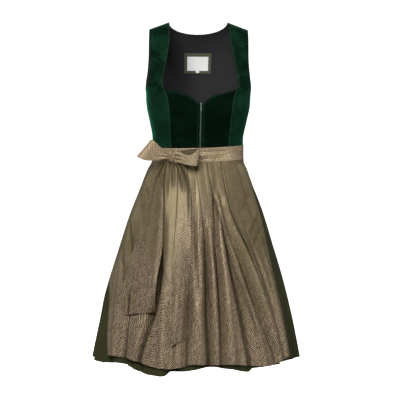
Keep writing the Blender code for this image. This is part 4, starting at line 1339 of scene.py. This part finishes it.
# Painted shade in the fold beside each pleat's edge: from this height on, by these shares at PLEAT_LEVELS.
PLEAT_SHADE_FROM = 2.4 * MM  # from this height on, the fold beside a pleat's edge is dark
PLEAT_SHADE_SHARE = (1.0, 1.0, 0.7, 0.0)  # at PLEAT_LEVELS
PLEAT_COLUMNS = 27
RISE_COLUMNS = 7
LEAST_APART_DEG = 0.02  # between neighbouring breaks


def apron_columns(levels, edges):
    """Columns that follow the pleats' edges down the apron, as angles in degrees."""
    breaks = [column(APRON_EDGES, "left_deg", levels)]
    for edge in edges:
        breaks += [edge - FINE_RISE_DEG, edge]
    breaks.append(column(APRON_EDGES, "right_deg", levels))
    for i in range(1, len(breaks)):
        breaks[i] = np.maximum(breaks[i], breaks[i - 1] + LEAST_APART_DEG)
    for i in range(len(breaks) - 2, -1, -1):
        breaks[i] = np.minimum(breaks[i], breaks[i + 1] - LEAST_APART_DEG)
    degrees = [breaks[0][:, None]]
    for i, (start, end) in enumerate(zip(breaks, breaks[1:])):
        share = np.linspace(0, 1, (RISE_COLUMNS if i % 2 else PLEAT_COLUMNS) + 1)[None, 1:]
        degrees.append(start[:, None] + (end - start)[:, None] * share)
    return np.concatenate(degrees, axis=1)


def apron_grid(levels):
    """The apron's columns in degrees. For each point, its height over the cloth below, how far a fold's
    overhang shifts it, and how much painted shade it gets in the fold beside a pleat's edge."""
    edges = row_paths(APRON_PLEATS, "deg", PLEAT_LEVELS, levels)
    heights = row_paths(APRON_PLEATS, "height", PLEAT_LEVELS, levels)
    shares = row_paths(FINE_PLEATS, "share", PLEAT_LEVELS, levels)
    overhang_share = smooth(levels, OVERHANG_LEVELS, OVERHANG_SHARE)
    pleat_shade_share = smooth(levels, PLEAT_LEVELS, PLEAT_SHADE_SHARE)[:, None]
    degrees = apron_columns(levels, edges)
    height, shift, pleat_shade = np.zeros((3, *degrees.shape))
    edges.append(edges[-1] + LAST_PLEAT_DEG)
    for edge, after, top, share, overhang in zip(edges, edges[1:], heights, shares, FINE_PLEATS["overhang"]):
        edge, after, top, overhang = (
            value[:, None] for value in (edge, after, top * share, overhang * overhang_share)
        )
        t = (degrees - edge + FINE_RISE_DEG) / FINE_RISE_DEG
        fall = 1 - ease((degrees - edge) / (after - FINE_RISE_DEG - edge))
        height += top * ease(t) * fall
        # painted shade beside the pleat's edge
        pleat_shade += pleat_shade_share * ease(top / PLEAT_SHADE_FROM) * bell((t - 0.35) / 0.75)
        beyond = np.clip(t - 1, 0, None) + np.clip(-t, 0, None)
        shift += overhang * np.sin(2 * math.pi * np.clip(t, 0, 1)) * np.exp(-(beyond**2) / 1.2)
    return degrees, height, shift, np.clip(pleat_shade, 0, 1)


APRON_FINE = 1.1 * MM
APRON_RISE, APRON_RISE_FADE = 1.3, 0.08  # share of the waistband's tilt at its top, and where that ends
APRON_ROLL = (1.2 * MM, 0.4 * MM)


def apron_panel():
    top = BAND_BOTTOM + SEAM
    levels = top + (APRON_HEM - top) * np.linspace(0, 1, 106) ** 1.1
    degrees, height, shift, pleat_shade = apron_grid(levels)
    level, angle = levels[:, None], np.radians(degrees)
    low = level + hem_drop("apron", angle, level)
    lift = apron_base(angle, low) + height + JACQUARD / 2
    lift = lift + crease_lift(APRON_CREASES, degrees, low) + crease_lift(UNDER_TAILS, degrees, low)
    lift = lift + fall_lift(degrees, low)
    rise = APRON_RISE * waist_rise(degrees) * (1 - ease((level - BAND_BOTTOM) / APRON_RISE_FADE))
    points = cloth_point(np.radians(degrees + shift), low - rise, lift)
    return shell("apron_cloth", points, APRON_FINE, [JACQUARD_CLOTH], APRON_ROLL, pleat_shade=pleat_shade)


BAND_FINE = 1.3 * MM
BAND_ROLL = (1.4 * MM, 0.8 * MM)
BAND_WIDER = 0.3  # share of the tilt by which the band's lower edge rises further


def band(name, start_deg, end_deg, columns, over):
    """A band round the waist. "over" is how far it lies over the band's other turn, by degrees."""
    level = (BAND_TOP + BAND_HEIGHT * dense(26, BAND_HEIGHT))[:, None]
    angle = np.radians(np.linspace(start_deg, end_deg, columns))[None, :]
    degrees = np.degrees(angle)
    lift = VELVET + BAND_LIFT + (JACQUARD + LAYER) * over(degrees)
    lift = lift + JACQUARD / 2 + crease_lift(BAND_CREASES, degrees, level)
    level = level - waist_rise(degrees) * (1 + BAND_WIDER * (level - BAND_TOP) / BAND_HEIGHT)
    return shell(name, cloth_point(angle, level, lift), BAND_FINE, [BAND_CLOTH], BAND_ROLL)


def sash_over(degrees):
    return ease((degrees - 360 - SASH_STEP_START_DEG) / SASH_STEP_DEG)


# ---------------------------------------------------------------- bow

KNOT_CLOTH_SIZE = np.array([0.0295, 0.0240, 0.0395])  # along the waist, outwards, upright
KNOT_LEAN = math.radians(-7)
KNOT_POWER = 2.5  # 2 would make the knot an ellipsoid
KNOT_RIPPLE = 0.4 * MM
KNOT_POLE = 0.02  # angle that the flats at its top and bottom reach to
BOW_RISE = 4 * MM  # above the level of its solid's middle, with the band's tilt
KNOT_GROOVES = table("""
place lean depth width
-0.10 0.30 0.0040 0.10
0.58 0.16 0.0022 0.10
""")


def knot_axes():
    """At the knot: the unit vector square to the form in plan, and the one along the waist."""
    normal = form_normal(np.array(math.radians(KNOT_DEG)), np.array(KNOT_LEVEL)) * (1, 1, 0)
    normal /= np.linalg.norm(normal)
    return normal, np.array([-normal[1], normal[0], 0])


def bow_centre():
    stack = VELVET + BAND_LIFT + 2 * JACQUARD + LAYER
    foot = cloth_point(math.radians(KNOT_DEG), KNOT_LEVEL, stack + 2 * SEAM)
    return foot + knot_axes()[0] * KNOT_SIZE[1] / 2 + UP * BOW_RISE


def bow_knot():
    """The tie's own cloth wrapped once round the bow: a pinched roll with folds running over it."""
    normal, along = knot_axes()
    rows, columns = 72, 112
    polar = np.linspace(KNOT_POLE, math.pi - KNOT_POLE, rows)[:, None]
    round_it = np.linspace(0, 2 * math.pi, columns, endpoint=False)[None, :]
    upright = np.cos(polar) + 0 * round_it
    unit = np.stack([np.sin(polar) * np.cos(round_it), np.sin(polar) * np.sin(round_it), upright], axis=-1)
    unit = unit / (np.abs(unit) ** KNOT_POWER).sum(-1, keepdims=True) ** (1 / KNOT_POWER)
    across, upright = unit[..., 0], unit[..., 2]
    groove = KNOT_RIPPLE * np.sin(9 * upright + 4 * across)
    for place, lean, depth, width in zip(*KNOT_GROOVES.values()):
        aside = np.abs(across - place - lean * upright) / width
        groove = groove - depth * np.exp(-(aside**1.3))
    local = unit * KNOT_CLOTH_SIZE / 2
    local = local * (1 + groove[..., None] / np.linalg.norm(local, axis=-1, keepdims=True))
    x, y, z = np.moveaxis(local[..., None], 2, 0)
    x = x * (1 - KNOT_PINCH * (1 - upright[..., None] ** 2))
    cos, sin = math.cos(KNOT_LEAN), math.sin(KNOT_LEAN)
    points = bow_centre() + along * (x * cos - z * sin) + normal * y + UP * (z * cos + x * sin)
    index = np.arange(rows * columns).reshape(rows, columns)
    after = np.roll(index, -1, axis=1)
    faces = np.stack([index[:-1], index[1:], after[1:], after[:-1]], axis=-1).reshape(-1, 4)
    uv = np.stack([across * 0.013, upright * 0.019 + unit[..., 1] * 0.010], axis=-1).reshape(-1, 2)
    mesh = bmesh.new()
    corners = [mesh.verts.new(p) for p in points.reshape(-1, 3)]
    layer = mesh.loops.layers.uv.new("cloth")
    for face in faces:
        made = mesh.faces.new([corners[i] for i in face])
        for loop, i in zip(made.loops, face):
            loop[layer].uv = uv[i]
    for ring in (index[0], index[-1][::-1]):
        mesh.faces.new([corners[i] for i in ring])
    return bmesh_object("bow_knot_cloth", mesh, KNOT_CLOTH)


# Each bow loop: its side along the waist and its turn outwards; how far it bulges; how much longer its
# cloth is than the solid; how far the upper edge of its front layer sinks below the back one and stands
# off it; how far its lower edge sags; the share of it that is crinkled; and the lengths of its lower and
# upper edges, with their heights above the bow's middle at the tip and at the knot.
LOOP_NAMES = ("bow_loop_right", "bow_loop_left")
LOOPS = table("""
side turn_deg bulge longer sink stand sag crinkled long_low long_high tip_low tip_high knot_low knot_high
-1 20 0.013 0.0015 0.0000 0.0000 0.0090 0.5 0.092 0.050 0.000 0.050 -0.007 0.013
1 6 0.013 0.0070 0.0170 0.0055 0.0000 1.0 0.064 0.074 -0.024 0.027 -0.0160 0.0185
""")
LOOP_APART = 2.4 * MM  # half the distance between a loop's two layers at the knot
LOOP_SPREAD = 0.9  # how soon a loop reaches the height of its tip
LOOP_IN_KNOT = 1.5 * MM
LOOP_FOLDS_SET_IN = 0.06
LOOP_CRINKLE = 0.6 * MM
LOOP_ROLL = (1.0 * MM, 0.3 * MM)

# Folds that fan from the knot over each bow loop: place across the loop (0 its lower edge) at the knot and
# at the tip, half width, height, and the share of the loop that they reach along.
LOOP_FOLDS = {
    "bow_loop_right": table("""
place_1 place_2 width height reach
0.16 0.05 0.06 0.0026 0.45
0.36 0.20 0.05 -0.0026 0.50
0.55 0.45 0.05 0.0028 0.55
0.74 0.75 0.05 -0.0024 0.42
0.90 0.95 0.05 0.0022 0.40
"""),
    "bow_loop_left": table("""
place_1 place_2 width height reach
0.10 0.05 0.07 0.0024 0.60
0.26 0.22 0.05 -0.0030 0.50
0.40 0.34 0.05 0.0034 0.70
0.56 0.50 0.05 -0.0030 0.50
0.72 0.70 0.05 0.0026 0.60
0.90 0.95 0.05 -0.0018 0.50
"""),
}


def bow_loop(name, row):
    """A band of cloth that leaves the knot, turns at its tip and comes back in front of itself."""
    shape = {key: values[row] for key, values in LOOPS.items()}
    normal, along = knot_axes()
    along = along * shape["side"]
    turn = math.radians(shape["turn_deg"])
    direction = along * math.cos(turn) + normal * math.sin(turn)
    facing = normal * math.cos(turn) - along * math.sin(turn)
    parts = ((0, 0.44, 66), (0.445, 0.555, 26), (0.56, 1, 66))
    run = np.concatenate([np.linspace(*part) for part in parts])[:, None]
    height = dense(44, 0.05, 0.003)[None, :]

    def across(kind):
        return shape[f"{kind}_low"] + (shape[f"{kind}_high"] - shape[f"{kind}_low"]) * height

    length, tip_z, knot_z = across("long") + shape["longer"], across("tip"), across("knot")
    reach = np.sin(math.pi * run)
    front = run > 0.5
    out = shape["bulge"] * np.sin(2 * math.pi * run) * reach + LOOP_APART * np.cos(math.pi * run)
    out = out - np.where(front, shape["stand"] * ease(reach / 0.4) * (1 - ease((reach - 0.6) / 0.4)), 0)
    crinkle = np.sin(31 * height + 9 * reach + 2 * run) * np.sin(17 * reach + 5 * height)
    own = LOOP_CRINKLE * crinkle * (1 - ease(reach / shape["crinkled"]))
    for place_1, place_2, width, tall, far in zip(*LOOP_FOLDS[name].values()):
        place = place_1 + (place_2 - place_1) * reach
        fade = (1 - ease(reach / far)) * ease(reach / LOOP_FOLDS_SET_IN)
        own = own + tall * bell((height - place) / width) * fade
    opening = np.where(front, np.sin(math.pi * np.clip((reach - 0.12) / 0.88, 0, 1) ** 1.4), 0)
    start = KNOT_SIZE[0] / 2 * (1 - KNOT_PINCH) - LOOP_IN_KNOT
    up = knot_z + (tip_z - knot_z) * ease(reach * LOOP_SPREAD) / ease(LOOP_SPREAD)
    up = up - shape["sag"] * np.sin(math.pi * reach**1.7) * (1 - height)
    up = up - shape["sink"] * opening * height**2
    points = bow_centre() + direction * (start + length * reach)[..., None] + UP * up[..., None]
    points = points - facing * (out + np.where(run < 0.5, own, -own))[..., None]
    return shell(f"{name}_cloth", points, APRON_FINE, [BOW_CLOTHS[name], LOOP_REVERSE], LOOP_ROLL)


# Sash tails. "edges" are their edges across the front, by level, "end_slant" is the left corner's drop
# below the right, and "folds" run their whole length, at a place across and with a half width. "gathers"
# fan from the knot: place across at the top and where they end, half width, height, and the part of the
# length that they reach. The left tail's cloth spreads sooner under the knot than its solid does.
TAILS = {
    "sash_tail_right": {
        "flat": (0.085, 0.46),
        "area": 0.037,
        "end_slant": 0.018,
        "edges": table("""
level left_x right_x
0.417 -0.0950 -0.0865
0.465 -0.1240 -0.0990
0.524 -0.1470 -0.1055
0.600 -0.1660 -0.1075
0.650 -0.1810 -0.1090
0.742 -0.2060 -0.1250
0.849 -0.2210 -0.1410
"""),
        "folds": table("""
place width height
0.30 0.20 0.0025
0.75 0.15 0.0015
"""),
        "gathers": table("""
place_1 place_2 width height reach
0.12 0.14 0.120 0.0110 0.22
0.86 0.91 0.120 0.0110 0.34
"""),
    },
    "sash_tail_left": {
        "flat": (0.095, 0.53),
        "area": 0.046,
        "end_slant": 0.033,
        "edges": table("""
level left_x right_x
0.417 -0.0845 -0.0640
0.427 -0.0885 -0.0480
0.447 -0.0940 -0.0385
0.470 -0.0980 -0.0315
0.500 -0.1010 -0.0280
0.561 -0.1040 -0.0270
0.640 -0.1060 -0.0260
0.802 -0.1060 -0.0270
0.9225 -0.0950 -0.0360
"""),
        "folds": table("""
place width height
0.20 0.20 0.0035
0.95 0.10 0.0030
"""),
        "gathers": table("""
place_1 place_2 width height reach
0.06 0.05 0.090 0.0100 0.40
0.36 0.34 0.070 0.0070 0.16
0.70 0.74 0.085 0.0120 0.20
0.98 0.97 0.070 0.0120 0.34
"""),
    },
}
TAIL_GAP = 1.6 * MM  # between the apron's pleats and a tail
TAIL_END_GAP_LESS = 0.9 * MM
TAIL_END = 0.07  # last part of the length, where the gap gets less
TAIL_STAND_OFF = 8 * MM  # at the knot
TAIL_STANDS = 0.16  # part of the length over which that ends
TAIL_FOLDS_SET_IN = 0.25  # part of the tail's length over which its folds form


def sash_tail(name):
    """An end of the sash that hangs over the apron, on the apron's own points, moved out."""
    tail = TAILS[name]
    edges = tail["edges"]
    t = dense(84, 0.5, 0.006)[:, None]
    u = dense(60, 0.07, 0.003)[None, :]
    start, end = edges["level"][0], edges["level"][-1] + tail["end_slant"] * (0.5 - u)
    level = start + (end - start) * t
    left, right = (column(edges, side, level) for side in ("left_x", "right_x"))
    angle = angle_at(left + (right - left) * u, level)
    folds = sum(tall * bell((u - place) / width) for place, width, tall in zip(*tail["folds"].values()))
    own = folds * ease(t / TAIL_FOLDS_SET_IN)
    for place_1, place_2, width, tall, reach in zip(*tail["gathers"].values()):
        share = np.clip(t / reach, 0, 1)
        own = own + tall * bell((u - place_1 - (place_2 - place_1) * share) / width) * (1 - ease(share))
    gap = TAIL_GAP - TAIL_END_GAP_LESS * ease((t - 1 + TAIL_END) / TAIL_END)
    gap = gap + TAIL_STAND_OFF * (1 - ease(t / TAIL_STANDS))
    lift = apron_base(angle, level) + pleat_height(angle, level) + fall_lift(np.degrees(angle), level)
    points = cloth_point(angle, level, lift + JACQUARD + gap + own + JACQUARD / 2)
    return shell(f"{name}_cloth", points, APRON_FINE, [TAIL_CLOTHS[name]], APRON_ROLL)


def make_skirt():
    front = skirt_half("skirt_front_cloth", 0, 241, 90, True)
    dress_piece(front, "skirt_front")
    back = skirt_half("skirt_back_cloth", 180, 361, 100, False)
    dress_piece(back, "skirt_back")


def make_apron():
    panel = apron_panel()
    dress_piece(panel, "apron_panel")
    waist = band("apron_band_cloth", BAND_LEFT_DEG, BAND_RIGHT_DEG, 260, lambda degrees: 0)
    dress_piece(waist, "apron_waistband")
    sash_start = BAND_RIGHT_DEG + 2 * math.degrees(SIDE_GAP)
    sash = band("sash_cloth", sash_start, 360 + SASH_END_DEG, 380, sash_over)
    dress_piece(sash, "sash_wrap")
    knot = bow_knot()
    dress_piece(knot, "bow_knot")
    for row, name in enumerate(LOOP_NAMES):
        dress_piece(bow_loop(name, row), name)
    for name, tail in TAILS.items():
        dress_piece(sash_tail(name), name)


# ---------------------------------------------------------------- stage, lights and camera

FLOOR_LEVEL = -1.42
STAGE_REACH, STAGE_BEND, STAGE_WALL, STAGE_TURNS = 9.0, 3.0, 9.0, 48
AIM = Vector((0, 0, -0.5305))
CAMERA = {"azimuth": -4.0, "pitch": 5.4, "roll": 0.4, "distance": 6.0, "lens": 180.0, "right": 0.0078}


def away_at(azimuth, elevation):
    """Unit vector from the dress, for degrees from its front towards its left, and upwards."""
    side, up = math.radians(azimuth), math.radians(elevation)
    return Vector((math.sin(side) * math.cos(up), -math.cos(side) * math.cos(up), math.sin(up)))


def make_camera():
    back = away_at(CAMERA["azimuth"], CAMERA["pitch"])
    level = (-back).cross(Vector((0, 0, 1))).normalized()
    roll = math.radians(CAMERA["roll"])
    right = level * math.cos(roll) + level.cross(-back) * math.sin(roll)
    data = bpy.data.cameras.new("camera")
    data.lens = CAMERA["lens"]
    data.sensor_width = 36.0
    data.clip_end = 100.0
    made = bpy.data.objects.new("camera", data)
    bpy.context.scene.collection.objects.link(made)
    turn = Matrix((right, right.cross(-back), back)).transposed().to_4x4()
    made.matrix_world = Matrix.Translation(AIM + back * CAMERA["distance"] + right * CAMERA["right"]) @ turn
    bpy.context.scene.camera = made


def make_stage():
    """A pale floor that curves up into a backdrop on all sides, far from the dress."""
    profile = [
        (STAGE_REACH + STAGE_BEND * math.sin(a), STAGE_BEND * (1 - math.cos(a)))
        for a in np.linspace(0, math.pi / 2, 13)
    ]
    profile.append((STAGE_REACH + STAGE_BEND, STAGE_WALL))
    mesh = bmesh.new()
    turns = np.linspace(0, 2 * math.pi, STAGE_TURNS, endpoint=False)
    rings = [
        [mesh.verts.new((radius * math.cos(a), radius * math.sin(a), FLOOR_LEVEL + height)) for a in turns]
        for radius, height in profile
    ]
    mesh.faces.new(rings[0])
    join_rings(mesh, rings)
    floor = bmesh_object("floor", mesh, STAGE_PAINT)
    floor.visible_diffuse = False
    floor.visible_glossy = False
    floor.visible_shadow = False


# Softboxes round the dress: direction from it in degrees, distance, size and power.
LIGHTS = table("""
azimuth elevation distance size watts
-18 31 3.6 1.6 124
48 6 2.6 1.1 15
180 34 3.0 1.8 85
112 22 3.2 1.4 13
-114 14 3.2 1.6 15
""")
AMBIENT = 0.10
LIT_POINT = Vector((0, 0, -0.34))


def make_lights():
    for i, (azimuth, elevation, distance, size, watts) in enumerate(zip(*LIGHTS.values())):
        data = bpy.data.lights.new(f"softbox_{i}", "AREA")
        data.size = size
        data.energy = watts
        made = bpy.data.objects.new(data.name, data)
        away = away_at(azimuth, elevation)
        made.location = LIT_POINT + away * float(distance)
        made.rotation_mode = "QUATERNION"
        made.rotation_quaternion = away.to_track_quat("Z", "Y")
        bpy.context.scene.collection.objects.link(made)
    world = bpy.data.worlds.new("studio")
    world.use_nodes = True
    background = world.node_tree.nodes["Background"].inputs
    background["Color"].default_value = paint((1, 1, 1))
    background["Strength"].default_value = AMBIENT
    bpy.context.scene.world = world
    bpy.context.scene.view_settings.view_transform = "Standard"


# ---------------------------------------------------------------- the dress

make_bodice()
make_zip()
make_skirt()
make_apron()
make_stage()
make_lights()
make_camera()

bpy.context.view_layer.update()
